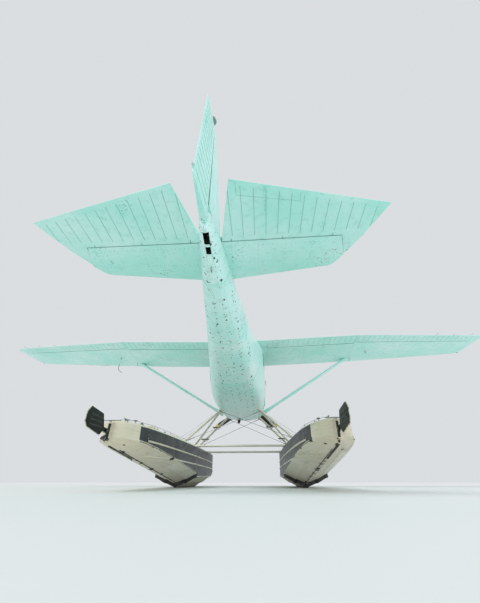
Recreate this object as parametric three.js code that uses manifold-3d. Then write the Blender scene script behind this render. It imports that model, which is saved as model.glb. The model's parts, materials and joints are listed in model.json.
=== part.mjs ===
// High-wing single-engined floatplane, standing on its two floats.
// Millimetres. +X is the aircraft's left, +Y is aft and +Z is up.
// The origin is on the floor, under the middle of the aircraft's box.

import * as THREE from "three";
import { mergeVertices } from "three/addons/utils/BufferGeometryUtils.js";
import Module from "manifold-3d";

const wasm = await Module();
wasm.setup();

// Gaps
const SEAT = 0.35; // between pieces that bear on each other
const CLEAR = 6; // round a moving piece

// Overall sizes
const LENGTH = 8230;
const HALF_SPAN = 5460;
const BOW = -LENGTH / 2;
const REAR = LENGTH / 2;

// Fuselage
const FIREWALL = -2380;
const CABIN_END = -100; // joint between cabin and tailcone
const TAIL_END = 3590;
const VOID_END = 2900; // the hollow of the cabin and tailcone ends here
const WALL = 35;
const FLOOR = 1480;
const SILL = 2100; // joint between the cabin's lower and upper halves
const FUSELAGE = [
  // y, half width, bottom, top, squareness
  [FIREWALL, 510, 1440, 2110, 3.6],
  [-2330, 518, 1434, 2140, 3.6],
  [-1840, 552, 1392, 2690, 4.2],
  [-1700, 558, 1386, 2772, 4.6],
  [-1300, 560, 1380, 2800, 5],
  [-800, 560, 1380, 2776, 5],
  [-200, 530, 1392, 2668, 4.4],
  [100, 495, 1415, 2590, 3.6],
  [700, 415, 1500, 2440, 3],
  [1500, 318, 1625, 2365, 2.6],
  [2400, 212, 1775, 2315, 2.3],
  [3100, 130, 1905, 2285, 2.2],
  [3450, 84, 1975, 2262, 2.1],
  [3560, 58, 2012, 2240, 2],
  [TAIL_END, 34, 2050, 2205, 2],
];
const SECTION_POINTS = 32;
const FUSELAGE_STEP = 420; // widest space between two sections

// Cowling, engine and propeller
const THRUST_Z = 1950;
const PROP_Y = -3505;
const PROP_RADIUS = 1040;
const SPINNER_TIP = -3735;
const COWL = [
  // y, half width, bottom, top, squareness
  [-3420, 250, 1795, 2075, 2.6],
  [-3385, 335, 1715, 2098, 2.8],
  [-3200, 425, 1610, 2112, 3],
  [-2800, 490, 1490, 2116, 3.4],
  [FIREWALL - SEAT, 510, 1440, 2110, 3.6],
];
const COWL_WALL = 14;
const COWL_STEP = 200;
const EXHAUST = {
  route: [[120, -2490, 1740], [120, -2490, 1520], [120, -2455, 1420], [120, -2380, 1380], [120, -2260, 1366]],
  radius: 32,
  bore: 26,
  mouth: 70, // depth of the open end
};

// Wing
const WING = [
  // x, leading edge y, chord, leading edge z, thickness ratio
  [300, -1830, 1630, 2677, 0.12],
  [2600, -1830, 1630, 2747, 0.12],
  [5250, -1692, 1095, 2827, 0.12],
  [5350, -1668, 1020, 2832, 0.112],
  [5420, -1620, 910, 2837, 0.094],
  [HALF_SPAN - 10, -1560, 780, 2840, 0.07],
  [HALF_SPAN, -1500, 660, 2842, 0.05],
];
const INCIDENCE = 0.03;
const FLAP = { x0: 650, x1: 2560, hinge: -562, radius: 46 };
const AILERON = { x0: 2620, x1: 5180, y0: -520, y1: -846 };

// Tail
const ELEVATOR_Y = 3255;
const TAIL_Z = 2190;
const RUDDER_Y = 3640;
const FIN_TOP = 3690;
const BEAD_PITCH = 115;
const BEAD = 4;

// Floats
const FLOAT_X = 1250;
const STEP = -1000;
const STERN = 1985;
const FOREBODY = [
  // y, keel z, half beam, chine z, half deck, deck edge z, crown z
  [BOW, 560, 70, 590, 78, 650, 672],
  [-4060, 470, 132, 536, 140, 668, 700],
  [-3960, 370, 185, 470, 190, 680, 722],
  [-3600, 165, 300, 350, 300, 702, 764],
  [-3150, 45, 362, 262, 355, 704, 780],
  [-2650, 0, 388, 200, 375, 698, 784],
  [STEP - 3, 0, 402, 165, 378, 684, 776],
];
const AFTERBODY = [
  [STEP, 70, 396, 226, 378, 684, 776],
  [200, 214, 366, 352, 345, 676, 756],
  [1200, 336, 312, 450, 296, 668, 730],
  [1700, 398, 235, 492, 232, 662, 708],
  [1900, 422, 130, 505, 134, 660, 692],
  [STERN, 440, 26, 512, 28, 655, 668],
];
const KEEL_HALF = 20;
const KEEL_STRIP = 12; // how far the keel strip stands below the plating
const SPRAY_RAIL = 12;
const FLOAT_STEP = 420;

// Water rudders
const POST_Y = 2025;
const PIVOT_Y = 2085;
const PIVOT_Z = 560;

// Paints and materials
const paint = (color, roughness, metalness = 0) =>
  new THREE.MeshStandardMaterial({ color, roughness, metalness });
const mint = paint(0xa8dccb, 0.4);
const ivory = paint(0xd8cfae, 0.55);
const metal = paint(0x9aa0a2, 0.35, 0.9);
const steel = paint(0x54585a, 0.4, 0.9);
const darkPaint = paint(0x26302c, 0.5);
const glass = paint(0xcfe3e6, 0.05);
const cloth = paint(0x6b6558, 0.9);
const trim = paint(0x2a2b2d, 0.7);

// Linear value between two rows of a table, found by its first column
function rowAt(table, at) {
  const after = Math.max(1, table.findIndex((row) => row[0] >= at));
  const [a, b] = [table[after - 1], table[after]];
  const t = (at - a[0]) / (b[0] - a[0]);
  return a.map((value, i) => value + (b[i] - value) * t);
}

// The same on a smooth curve through the rows, which never swings past them
function smoothRowAt(table, at) {
  const after = Math.max(1, table.findIndex((row) => row[0] >= at));
  const [a, b] = [table[after - 1], table[after]];
  const [before, beyond] = [table[after - 2], table[after + 1]];
  const width = b[0] - a[0];
  const t = (at - a[0]) / width;
  const slope = (p, q, i) => (q[i] - p[i]) / (q[0] - p[0]);
  const shared = (s, r) => (s * r > 0 ? (2 * s * r) / (s + r) : 0);
  return a.map((value, i) => {
    if (i === 0) return at;
    const own = slope(a, b, i);
    const from = before ? shared(slope(before, a, i), own) : own;
    const to = beyond ? shared(own, slope(b, beyond, i)) : own;
    return (
      value * (1 + 2 * t) * (1 - t) ** 2 +
      b[i] * t * t * (3 - 2 * t) +
      width * t * (1 - t) * (from * (1 - t) - to * t)
    );
  });
}

// A table's own places, with more between those that lie further apart than a step
function stationsOf(table, step) {
  const places = table.map(([at]) => at);
  return places.flatMap((at, i) => {
    const next = places[i + 1];
    const count = next === undefined ? 1 : Math.ceil((next - at) / step);
    return Array.from({ length: count }, (_, k) => (count > 1 ? at + ((next - at) * k) / count : at));
  });
}
const smoothRows = (table, step) => stationsOf(table, step).map((at) => smoothRowAt(table, at));

function geometryOf(positions, index) {
  const geometry = new THREE.BufferGeometry();
  geometry.setAttribute("position", new THREE.Float32BufferAttribute(positions, 3));
  geometry.setIndex(index);
  return geometry;
}

function signedVolume(positions, index) {
  const corner = (i) => new THREE.Vector3().fromArray(positions, 3 * index[i]);
  let sum = 0;
  for (let i = 0; i < index.length; i += 3)
    sum += corner(i).dot(corner(i + 1).cross(corner(i + 2)));
  return sum / 6;
}

const turnedOver = (index) => {
  const turned = [];
  for (let i = 0; i < index.length; i += 3)
    turned.push(index[i], index[i + 2], index[i + 1]);
  return turned;
};

// Closed skin over rings of points, each ring with the same count. Each face is split
// along its shorter diagonal, so that the left and right sides mirror each other.
function skin(rings) {
  const count = rings[0].length;
  const positions = rings.flat(2);
  const distance = (p, q) => Math.hypot(p[0] - q[0], p[1] - q[1], p[2] - q[2]);
  const index = [];
  for (let r = 0; r + 1 < rings.length; r++)
    for (let i = 0; i < count; i++) {
      const j = (i + 1) % count;
      const [a, b, c, d] = [r * count + i, r * count + j, (r + 1) * count + i, (r + 1) * count + j];
      if (distance(rings[r][j], rings[r + 1][i]) < distance(rings[r][i], rings[r + 1][j]))
        index.push(a, b, c, b, d, c);
      else index.push(a, b, d, a, d, c);
    }
  const last = rings.length - 1;
  for (const [r, step] of [[0, -1], [last, 1]]) {
    const centre = positions.length / 3;
    const middle = [0, 1, 2].map((k) => rings[r].reduce((sum, p) => sum + p[k], 0) / count);
    positions.push(...middle);
    for (let i = 0; i < count; i++) {
      const a = r * count + i;
      const b = r * count + ((i + 1) % count);
      index.push(centre, step > 0 ? a : b, step > 0 ? b : a);
    }
  }
  const outward = signedVolume(positions, index) > 0;
  return geometryOf(positions, outward ? index : turnedOver(index));
}

// Joins and cuts
function solid(geometry) {
  const bare = geometry.clone();
  bare.deleteAttribute("normal");
  bare.deleteAttribute("uv");
  const merged = mergeVertices(bare, 1e-4);
  return new wasm.Manifold(
    new wasm.Mesh({
      numProp: 3,
      vertProperties: merged.attributes.position.array,
      triVerts: new Uint32Array(merged.index.array),
    }),
  );
}

function fromSolid(body) {
  const mesh = body.getMesh();
  return geometryOf([...mesh.vertProperties], [...mesh.triVerts]);
}

const cut = (body, ...tools) =>
  fromSolid(tools.reduce((rest, tool) => rest.subtract(solid(tool)), solid(body)));
const join = (body, ...others) =>
  fromSolid(others.reduce((whole, other) => whole.add(solid(other)), solid(body)));
const common = (a, b) => fromSolid(solid(a).intersect(solid(b)));
const moved = (geometry, x, y, z) => geometry.clone().translate(x, y, z);

// Plain shapes
const block = (x0, x1, y0, y1, z0, z1) =>
  new THREE.BoxGeometry(x1 - x0, y1 - y0, z1 - z0).translate(
    (x0 + x1) / 2,
    (y0 + y1) / 2,
    (z0 + z1) / 2,
  );

// Round bar from point a to point b
function rod(a, b, radiusA, radiusB = radiusA, sides = 12) {
  const from = new THREE.Vector3(...a);
  const to = new THREE.Vector3(...b);
  const along = to.clone().sub(from);
  const turn = new THREE.Quaternion().setFromUnitVectors(
    new THREE.Vector3(0, 1, 0),
    along.clone().normalize(),
  );
  const middle = from.add(to).multiplyScalar(0.5);
  return new THREE.CylinderGeometry(radiusB, radiusA, along.length(), sides)
    .applyQuaternion(turn)
    .translate(middle.x, middle.y, middle.z);
}

// Prism whose outline of [y, z] points lies in the side view
function sidePrism(outline, x0, x1) {
  const shape = new THREE.Shape(outline.map(([y, z]) => new THREE.Vector2(y, z)));
  const turn = new THREE.Matrix4().makeBasis(
    new THREE.Vector3(0, 1, 0),
    new THREE.Vector3(0, 0, 1),
    new THREE.Vector3(1, 0, 0),
  );
  return new THREE.ExtrudeGeometry(shape, { depth: x1 - x0, bevelEnabled: false })
    .applyMatrix4(turn)
    .translate(x0, 0, 0);
}

// Prism whose outline of [x, y] points lies in the plan view
function planPrism(outline, z0, z1) {
  const shape = new THREE.Shape(outline.map(([x, y]) => new THREE.Vector2(x, y)));
  return new THREE.ExtrudeGeometry(shape, { depth: z1 - z0, bevelEnabled: false })
    .translate(0, 0, z0);
}

// Streamlined tube from a to b, its chord turned as near fore and aft as it can lie. Cuffs
// are [share of the length, millimetres wider] pairs.
const PLAIN = [[0, 0], [1, 0]];
const TUBE_SIDES = 14;
function fairedTube(a, b, chord, thickness, cuffs = PLAIN) {
  const from = new THREE.Vector3(...a);
  const to = new THREE.Vector3(...b);
  const along = to.clone().sub(from).normalize();
  const aft = new THREE.Vector3(0, 1, 0);
  const chordwise = aft.sub(along.clone().multiplyScalar(aft.dot(along))).normalize();
  const across = along.clone().cross(chordwise);
  const ringAt = ([share, wider]) =>
    Array.from({ length: TUBE_SIDES }, (_, i) => {
      const angle = (2 * Math.PI * i) / TUBE_SIDES;
      return from
        .clone()
        .lerp(to, share)
        .addScaledVector(chordwise, (Math.cos(angle) * (chord + wider)) / 2)
        .addScaledVector(across, (Math.sin(angle) * (thickness + wider / 2)) / 2)
        .toArray();
    });
  return skin(cuffs.map(ringAt));
}

// Section of a fuselage or cowling row, drawn in or out by some millimetres
function bodyRing([y, halfWidth, bottom, top, squareness], grow = 0, drop = 0) {
  const middle = (bottom + top) / 2;
  const halfHeight = (top - bottom) / 2;
  return Array.from({ length: SECTION_POINTS }, (_, i) => {
    const angle = ((i + 0.5) / SECTION_POINTS) * 2 * Math.PI;
    const power = 2 / squareness;
    const bow = (value) => Math.sign(value) * Math.abs(value) ** power;
    return [
      (halfWidth + grow) * bow(Math.cos(angle)),
      y + drop,
      middle + (halfHeight + grow) * bow(Math.sin(angle)),
    ];
  });
}

// Stretch of the fuselage from y0 to y1
function fuselageBody(y0, y1, grow = 0) {
  const between = stationsOf(FUSELAGE, FUSELAGE_STEP).filter((y) => y > y0 + 1 && y < y1 - 1);
  const rings = [y0, ...between, y1].map((y) => bodyRing(smoothRowAt(FUSELAGE, y), grow));
  return skin(rings);
}

// Fuselage shells
const cabinBody = fuselageBody(FIREWALL, CABIN_END);
const fuselageGrown = fuselageBody(FIREWALL, TAIL_END, SEAT);
const FIREWALL_THICK = 30;
const aboveFloor = (floor) => block(-700, 700, -2600, VOID_END + 100, floor, 3000);
const cabinVoid = common(
  fuselageBody(FIREWALL + FIREWALL_THICK, VOID_END, -WALL),
  aboveFloor(FLOOR),
);
const cabinShell = cut(cabinBody, cabinVoid);
const voidForFittings = common(
  fuselageBody(FIREWALL + FIREWALL_THICK + SEAT, VOID_END, -WALL - SEAT),
  aboveFloor(FLOOR + SEAT),
);

// Outline whose corners are rounded, each over some millimetres of its edges
function rounded(outline, reach, steps = 4) {
  const toward = (p, q) => {
    const length = Math.hypot(q[0] - p[0], q[1] - p[1]);
    return [p[0] + ((q[0] - p[0]) * reach) / length, p[1] + ((q[1] - p[1]) * reach) / length];
  };
  return outline.flatMap((corner, i) => {
    const from = toward(corner, outline[(i + outline.length - 1) % outline.length]);
    const to = toward(corner, outline[(i + 1) % outline.length]);
    return Array.from({ length: steps + 1 }, (_, k) => {
      const t = k / steps;
      return [0, 1].map((n) => from[n] * (1 - t) ** 2 + corner[n] * 2 * t * (1 - t) + to[n] * t * t);
    });
  });
}

// Openings, as [y, z] outlines in the side view
const DOOR_FRONT = -1780;
const DOOR = rounded(
  [
    [DOOR_FRONT, 1560],
    [-930, 1560],
    [-890, 2540],
    [-1604, 2540],
    [DOOR_FRONT, 2090],
  ],
  40,
);
const DOOR_WINDOW = rounded(
  [
    [-1690, 2130],
    [-975, 2130],
    [-952, 2470],
    [-1560, 2470],
  ],
  60,
);
const SIDE_WINDOW = rounded(
  [
    [-840, 2130],
    [-300, 2150],
    [-340, 2440],
    [-815, 2475],
  ],
  70,
);
const WINDSCREEN = [
  [-2322, 2128],
  [-1862, 2128],
  [-1702, 2560],
  [-1856, 2800],
  [-2500, 2800],
];
const BAGGAGE_FRONT = 40;
const BAGGAGE_DOOR = rounded(
  [
    [BAGGAGE_FRONT, 1700],
    [430, 1720],
    [430, 2120],
    [BAGGAGE_FRONT, 2160],
  ],
  45,
);

// Outline drawn in from its edges, for outlines that run anticlockwise
function inset(outline, by) {
  const count = outline.length;
  const lines = outline.map((p, i) => {
    const q = outline[(i + 1) % count];
    const length = Math.hypot(q[0] - p[0], q[1] - p[1]);
    const normal = [-(q[1] - p[1]) / length, (q[0] - p[0]) / length];
    return { normal, offset: normal[0] * p[0] + normal[1] * p[1] + by };
  });
  return lines.map((line, i) => {
    const before = lines[(i + count - 1) % count];
    const det = before.normal[0] * line.normal[1] - before.normal[1] * line.normal[0];
    return [
      (before.offset * line.normal[1] - line.offset * before.normal[1]) / det,
      (before.normal[0] * line.offset - line.normal[0] * before.offset) / det,
    ];
  });
}

// Sheet of window glass that follows the fuselage's side
const GLASS_DEPTH = 10;
const GLASS_THICK = 6;
const glassSheet = cut(
  fuselageBody(FIREWALL + 5, CABIN_END, -GLASS_DEPTH),
  fuselageBody(FIREWALL + 4, CABIN_END + 20, -GLASS_DEPTH - GLASS_THICK),
);
const paneOf = (outline, x0, x1) =>
  common(glassSheet, sidePrism(inset(outline, SEAT), x0, x1));

// Hinge knuckles on an upright axis: the middle one swings, the outer ones are fixed
const KNUCKLE = { radius: 9, height: 32, room: 4, leafDeep: 24, leafWide: 14 };
function uprightHinge(x, y, z) {
  const at = (from, to, radius) => rod([x, y, z + from], [x, y, z + to], radius, radius, 10);
  const half = KNUCKLE.height / 2;
  const wide = KNUCKLE.radius + KNUCKLE.room;
  const knuckle = (from, to, side) => {
    const [y0, y1] = side > 0 ? [y, y + KNUCKLE.leafWide] : [y - KNUCKLE.leafWide, y];
    const leaf = block(x - KNUCKLE.leafDeep, x, y0, y1, z + from, z + to);
    return join(at(from, to, KNUCKLE.radius), leaf);
  };
  return {
    swinging: knuckle(-half, half, 1),
    swingingRoom: at(-half - SEAT, half + SEAT, wide),
    fixed: [knuckle(half + SEAT, 3 * half, -1), knuckle(-3 * half, -half - SEAT, -1)],
    fixedRoom: [
      at(half, 3 * half + KNUCKLE.room, wide),
      at(-3 * half - KNUCKLE.room, -half, wide),
    ],
  };
}

// Doors: the hinges stand in the gap at the front edge
const DOOR_GAP = 5;
const DOOR_HINGE = { x: 556, y: DOOR_FRONT + DOOR_GAP / 2, heights: [1690, 1990] };
const doorHinges = DOOR_HINGE.heights.map((z) => uprightHinge(DOOR_HINGE.x, DOOR_HINGE.y, z));
const BAGGAGE_HINGE = { x: 502, y: BAGGAGE_FRONT + DOOR_GAP / 2, heights: [1800, 2050] };

function cabinDoor() {
  const panel = common(cabinShell, sidePrism(inset(DOOR, DOOR_GAP), 200, 700));
  const windowed = cut(panel, sidePrism(DOOR_WINDOW, 200, 700));
  return join(
    cut(windowed, ...doorHinges.flatMap((hinge) => hinge.fixedRoom)),
    ...doorHinges.map((hinge) => hinge.swinging),
  );
}

const mirror = (geometry) => {
  const flipped = geometry.clone().scale(-1, 1, 1);
  flipped.setIndex(turnedOver([...flipped.index.array]));
  return flipped;
};
const bothSides = (geometries) => [...geometries, ...geometries.map(mirror)];
const indexed = (geometry) => {
  const bare = geometry.clone();
  bare.deleteAttribute("normal");
  bare.deleteAttribute("uv");
  return mergeVertices(bare, 1e-4);
};

function cabinHalves() {
  const openings = [
    ...bothSides([DOOR, SIDE_WINDOW].map((o) => indexed(sidePrism(o, 200, 700)))),
    sidePrism(WINDSCREEN, -700, 700),
    ...bothSides(doorHinges.map((hinge) => indexed(hinge.swingingRoom))),
  ];
  const open = cut(cabinShell, ...openings);
  const knuckles = bothSides(doorHinges.flatMap((hinge) => hinge.fixed.map(indexed)));
  const whole = join(open, ...knuckles);
  return {
    lower: common(whole, block(-700, 700, -2500, 0, 1000, SILL)),
    upper: common(whole, block(-700, 700, -2500, 0, SILL + SEAT, 3000)),
  };
}

// Cowling with two air inlets, an outlet below and a hole for the shaft
function cowling() {
  const rows = smoothRows(COWL, COWL_STEP);
  const outer = skin(rows.map((row) => bodyRing(row)));
  const inner = skin(
    rows.map((row, i) =>
      bodyRing(row, -COWL_WALL, i === 0 ? COWL_WALL : i === rows.length - 1 ? 20 : 0),
    ),
  );
  const inlet = new THREE.CylinderGeometry(1, 1, 200, 16)
    .scale(82, 1, 62)
    .translate(178, -3400, 1962);
  const outlet = block(-190, 190, -2580, -2410, 1300, 1560);
  const shaftHole = rod([0, -3500, THRUST_Z], [0, -3300, THRUST_Z], 90, 90, 20);
  return cut(outer, inner, inlet, moved(inlet, -356, 0, 0), outlet, shaftHole);
}

// Exhaust pipe that comes down through the cowling's outlet and runs back under the belly
function exhaust() {
  const corners = EXHAUST.route.map((p) => new THREE.Vector3(...p));
  const circle = new THREE.Shape().absarc(0, 0, EXHAUST.radius, 0, 2 * Math.PI);
  const pipe = new THREE.ExtrudeGeometry(circle, {
    extrudePath: new THREE.CatmullRomCurve3(corners),
    steps: 12,
    curveSegments: 6,
    bevelEnabled: false,
  });
  const [end, before] = [corners.at(-1), corners.at(-2)];
  const back = end.clone().sub(before).normalize();
  const inside = end.clone().addScaledVector(back, -EXHAUST.mouth);
  const outside = end.clone().addScaledVector(back, EXHAUST.mouth);
  return cut(pipe, rod(inside.toArray(), outside.toArray(), EXHAUST.bore));
}

function engineBlock() {
  return join(
    exhaust(),
    block(-335, 335, -3230, -2540, 1730, 2015),
    rod([0, PROP_Y + 50 + SEAT, THRUST_Z], [0, -3100, THRUST_Z], 60, 60, 16),
    block(-220, 220, -2560, FIREWALL - SEAT, 1700, 2000),
  );
}

// Propeller
const BLADE = [
  // radius, chord, thickness, pitch in degrees
  [60, 84, 70, 62],
  [200, 104, 44, 50],
  [420, 164, 24, 36],
  [720, 166, 15, 27],
  [950, 128, 9, 22],
  [PROP_RADIUS, 56, 6, 20],
];
const BLADE_STEP = 130;
const BLADES = 3;
const HUB = { radius: 95, half: 50 };

function propellerBlade(turn) {
  const rings = smoothRows(BLADE, BLADE_STEP).map(([radius, chord, thickness, pitch]) =>
    Array.from({ length: 12 }, (_, i) => {
      const angle = (2 * Math.PI * i) / 12;
      const tilt = THREE.MathUtils.degToRad(pitch);
      const along = (Math.cos(angle) * chord) / 2;
      const across = (Math.sin(angle) * thickness) / 2;
      return [
        along * Math.cos(tilt) - across * Math.sin(tilt),
        along * Math.sin(tilt) + across * Math.cos(tilt),
        radius,
      ];
    }),
  );
  return skin(rings).rotateY(turn).translate(0, PROP_Y, THRUST_Z);
}

const bladeTurns = Array.from({ length: BLADES }, (_, i) => (2 * Math.PI * i) / BLADES);

function propeller() {
  const hub = rod(
    [0, PROP_Y - HUB.half, THRUST_Z],
    [0, PROP_Y + HUB.half, THRUST_Z],
    HUB.radius,
    HUB.radius,
    24,
  );
  return join(hub, ...bladeTurns.map(propellerBlade));
}

function spinner() {
  const backY = PROP_Y + 66;
  const radius = 168;
  const nose = backY - SPINNER_TIP;
  const outline = [[0, nose], ...[0.03, 0.1, 0.22, 0.38, 0.56, 0.77, 1].map((t) => [
    radius * Math.sqrt(1 - (1 - t) ** 2),
    nose * (1 - t),
  ]), [0, 0]].map(([r, h]) => new THREE.Vector2(r, h));
  const cone = new THREE.LatheGeometry(outline.reverse(), 32)
    .rotateZ(Math.PI)
    .translate(0, backY, THRUST_Z);
  const hubHole = rod(
    [0, PROP_Y - HUB.half - SEAT, THRUST_Z],
    [0, backY + 10, THRUST_Z],
    HUB.radius + SEAT,
    HUB.radius + SEAT,
    24,
  );
  const slots = bladeTurns.map((turn) =>
    block(-52, 52, -HUB.half, 80, 0, 300).rotateY(turn).translate(0, PROP_Y, THRUST_Z),
  );
  return cut(cone, hubHole, ...slots);
}

// Wing section: camber and thickness of a common 12 per cent section
const FOIL_STATIONS = [0.004, 0.02, 0.06, 0.14, 0.26, 0.4, 0.58, 0.78];
const EDGE = 2;
function foilAt(t, ratio) {
  const poly = 0.2969 * Math.sqrt(t) - 0.126 * t - 0.3516 * t ** 2 + 0.2843 * t ** 3 - 0.1036 * t ** 4;
  const half = 5 * ratio * poly;
  const camber = t < 0.4 ? 0.125 * (0.8 * t - t * t) : 0.0556 * (0.2 + 0.8 * t - t * t);
  return { upper: camber + half, lower: camber - half, middle: camber, half };
}

function wingRing([x, lead, chord, z, ratio]) {
  const point = (t, side) => {
    const foil = foilAt(t, ratio);
    const height = (side > 0 ? foil.upper : foil.lower) * chord;
    return [x, lead + t * chord, z + height + side * EDGE * t - INCIDENCE * t * chord];
  };
  const back = [...FOIL_STATIONS].reverse();
  return [
    ...[1, ...back].map((t) => point(t, 1)),
    point(0, 0),
    ...[...FOIL_STATIONS, 1].map((t) => point(t, -1)),
  ];
}

// Middle and half thickness of the wing at a place in plan
function wingAt(x, y) {
  const [, lead, chord, z, ratio] = rowAt(WING, x);
  const t = (y - lead) / chord;
  const foil = foilAt(t, ratio);
  return { z: z + foil.middle * chord - INCIDENCE * t * chord, half: foil.half * chord };
}

const wingBody = skin(WING.map(wingRing));

// Aileron hinge line, from its inner to its outer end
const aileronEnds = [
  [AILERON.x0, AILERON.y0],
  [AILERON.x1, AILERON.y1],
].map(([x, y]) => {
  const { z, half } = wingAt(x, y);
  return { point: [x, y, z], radius: half - 1 };
});

const between = (a, b, t) => a.map((value, i) => value + (b[i] - value) * t);
const beyond = 40;

// Body of all that lies behind a slanting hinge line
function behindLine(x0, y0, x1, y1, grow) {
  return planPrism(
    [
      [x0 - grow, y0],
      [x1 + grow, y1],
      [x1 + grow, 200],
      [x0 - grow, 200],
    ],
    2300,
    3200,
  );
}

const aileronNose = (grow) =>
  rod(
    between(aileronEnds[0].point, aileronEnds[1].point, grow ? -beyond / 2560 : 0),
    between(aileronEnds[0].point, aileronEnds[1].point, grow ? 1 + beyond / 2560 : 1),
    aileronEnds[0].radius + grow,
    aileronEnds[1].radius + grow,
    16,
  );

// Hinge lug: a plate on the fixed side, square to the hinge line, that stands in a slot
// of the moving side
const LUG = 8;
function lugOnLine(ends, t, reach) {
  const centre = between(ends[0].point, ends[1].point, t);
  const radius = ends[0].radius + (ends[1].radius - ends[0].radius) * t;
  const line = new THREE.Vector3(...ends[1].point).sub(new THREE.Vector3(...ends[0].point));
  const turn = new THREE.Quaternion().setFromUnitVectors(
    new THREE.Vector3(1, 0, 0),
    line.normalize(),
  );
  const placed = (geometry) => geometry.applyQuaternion(turn).translate(...centre);
  const round = (half, r, sides) => rod([-half, 0, 0], [half, 0, 0], r, r, sides);
  const [high, half] = [0.4 * radius, LUG / 2];
  const plate = join(
    round(half, 0.55 * radius, 10),
    block(-half, half, -radius - reach, 0, -high, high),
  );
  return { plate: placed(plate), slot: placed(round(half + SEAT, radius + 8, 16)) };
}

const aileronLugs = [0.08, 0.5, 0.92].map((t) => lugOnLine(aileronEnds, t, 30));

function aileron() {
  const { x0, y0, x1, y1 } = AILERON;
  const behind = common(wingBody, behindLine(x0, y0, x1, y1, 0));
  const nosed = join(behind, aileronNose(0));
  return cut(nosed, ...aileronLugs.map((lug) => lug.slot));
}

// Flap: it turns about a line low in its nose
const flapEnds = [FLAP.x0, FLAP.x1].map((x) => {
  const { z, half } = wingAt(x, FLAP.hinge);
  return { point: [x, FLAP.hinge, z], radius: half - 1 };
});
const flapAxis = flapEnds.map(({ point, radius }) => [point[0], point[1], point[2] - radius]);

function flapLug(t) {
  const [x, y, z] = between(flapAxis[0], flapAxis[1], t);
  const disc = rod([x - LUG / 2, y, z], [x + LUG / 2, y, z], 16, 16, 10);
  const bar = block(x - LUG / 2, x + LUG / 2, y - FLAP.radius - 40, y, z - 10, z + 14);
  const slot = rod([x - LUG / 2 - SEAT, y, z], [x + LUG / 2 + SEAT, y, z], 64, 64, 16);
  return { plate: join(disc, bar), slot };
}
const flapLugs = [0.12, 0.88].map(flapLug);

const flapNose = (grow) =>
  rod(
    [flapEnds[0].point[0] - (grow ? beyond : 0), ...flapEnds[0].point.slice(1)],
    [flapEnds[1].point[0] + (grow ? beyond : 0), ...flapEnds[1].point.slice(1)],
    flapEnds[0].radius + grow,
    flapEnds[1].radius + grow,
    16,
  );

function flap() {
  const behind = common(wingBody, behindLine(FLAP.x0, FLAP.hinge, FLAP.x1, FLAP.hinge, 0));
  return cut(join(behind, flapNose(0)), ...flapLugs.map((lug) => lug.slot));
}

function wing() {
  const { x0, y0, x1, y1 } = AILERON;
  const bays = [
    behindLine(x0, y0, x1, y1, CLEAR + 2),
    behindLine(FLAP.x0, FLAP.hinge, FLAP.x1, FLAP.hinge, CLEAR + 2),
    common(aileronNose(CLEAR), block(x0 - CLEAR - 2, x1 + CLEAR + 2, -2000, 0, 2300, 3200)),
    common(
      flapNose(CLEAR),
      block(FLAP.x0 - CLEAR - 2, FLAP.x1 + CLEAR + 2, -2000, 0, 2300, 3200),
    ),
  ];
  const bare = cut(wingBody, fuselageGrown, ...bays);
  return join(bare, ...[...aileronLugs, ...flapLugs].map((lug) => lug.plate));
}

// Wing strut
const STRUT = { foot: [470, -1860, 1470], head: [2750, -1480, 2760], chord: 150, thick: 58 };
const STRUT_CUFFS = [
  // share of the length, millimetres wider
  [0, 70],
  [0.075, 34],
  [0.11, 0],
  [0.885, 0],
  [0.92, 34],
  [1, 70],
];
function wingStrut() {
  const tube = fairedTube(STRUT.foot, STRUT.head, STRUT.chord, STRUT.thick, STRUT_CUFFS);
  const wingAbove = moved(wingBody, 0, 0, -SEAT);
  const aboveWing = moved(wingBody, 0, 0, 90);
  return cut(tube, fuselageGrown, wingAbove, aboveWing);
}

// Section of a fixed tail surface: distance from the hinge line and half thickness
const FIXED_SECTION = [
  // share of the chord, share of the thickness
  [0, 0],
  [0.015, 0.3],
  [0.07, 0.62],
  [0.25, 0.92],
  [0.6, 1],
  [1, 0.78],
];
const fixedProfile = (lead, half) => {
  const upper = FIXED_SECTION.map(([c, h]) => [lead * (1 - c), half * h]);
  return [...upper, ...upper.slice(1).reverse().map(([s, h]) => [s, -h])];
};

// Section of a moving tail surface: round nose, beaded flanks and a blunt rear edge
const NOSE_ANGLES = [90, 120, 150, 180, 210, 240, 270].map((a) => THREE.MathUtils.degToRad(a));
function movingProfile(nose, chord, bead) {
  const half = (s) => nose + (EDGE - nose) * (s / chord);
  const flank = [0.14, 0.9].map((c) => [c * chord, half(c * chord) + bead]);
  const arc = NOSE_ANGLES.map((a) => [nose * Math.cos(a), nose * Math.sin(a)]);
  return [
    ...arc,
    ...flank.map(([s, h]) => [s, -h]),
    [chord, -EDGE],
    [chord, EDGE],
    ...flank.reverse(),
  ];
}

// Stations across a beaded surface, valley and crest in turn
function beadStations(from, to) {
  const steps = 2 * Math.round((to - from) / BEAD_PITCH);
  return Array.from({ length: steps + 1 }, (_, i) => ({
    at: from + ((to - from) * i) / steps,
    bead: i % 2 ? BEAD : 0,
  }));
}

// Tailplane
const TAILPLANE = {
  rootLead: 710,
  tipX: 1290,
  tipLead: 500,
  rakeX: 1410,
  rakeLead: 305,
  hornX: 1320,
  rootHalf: 46,
  tipHalf: 30,
};
const ELEVATOR = { rootX: 114, cutX: 246, rootChord: 660, tipX: 1680, tipChord: 330 };
const elevatorNose = (x) => 35 - (10 * x) / 1320;

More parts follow.
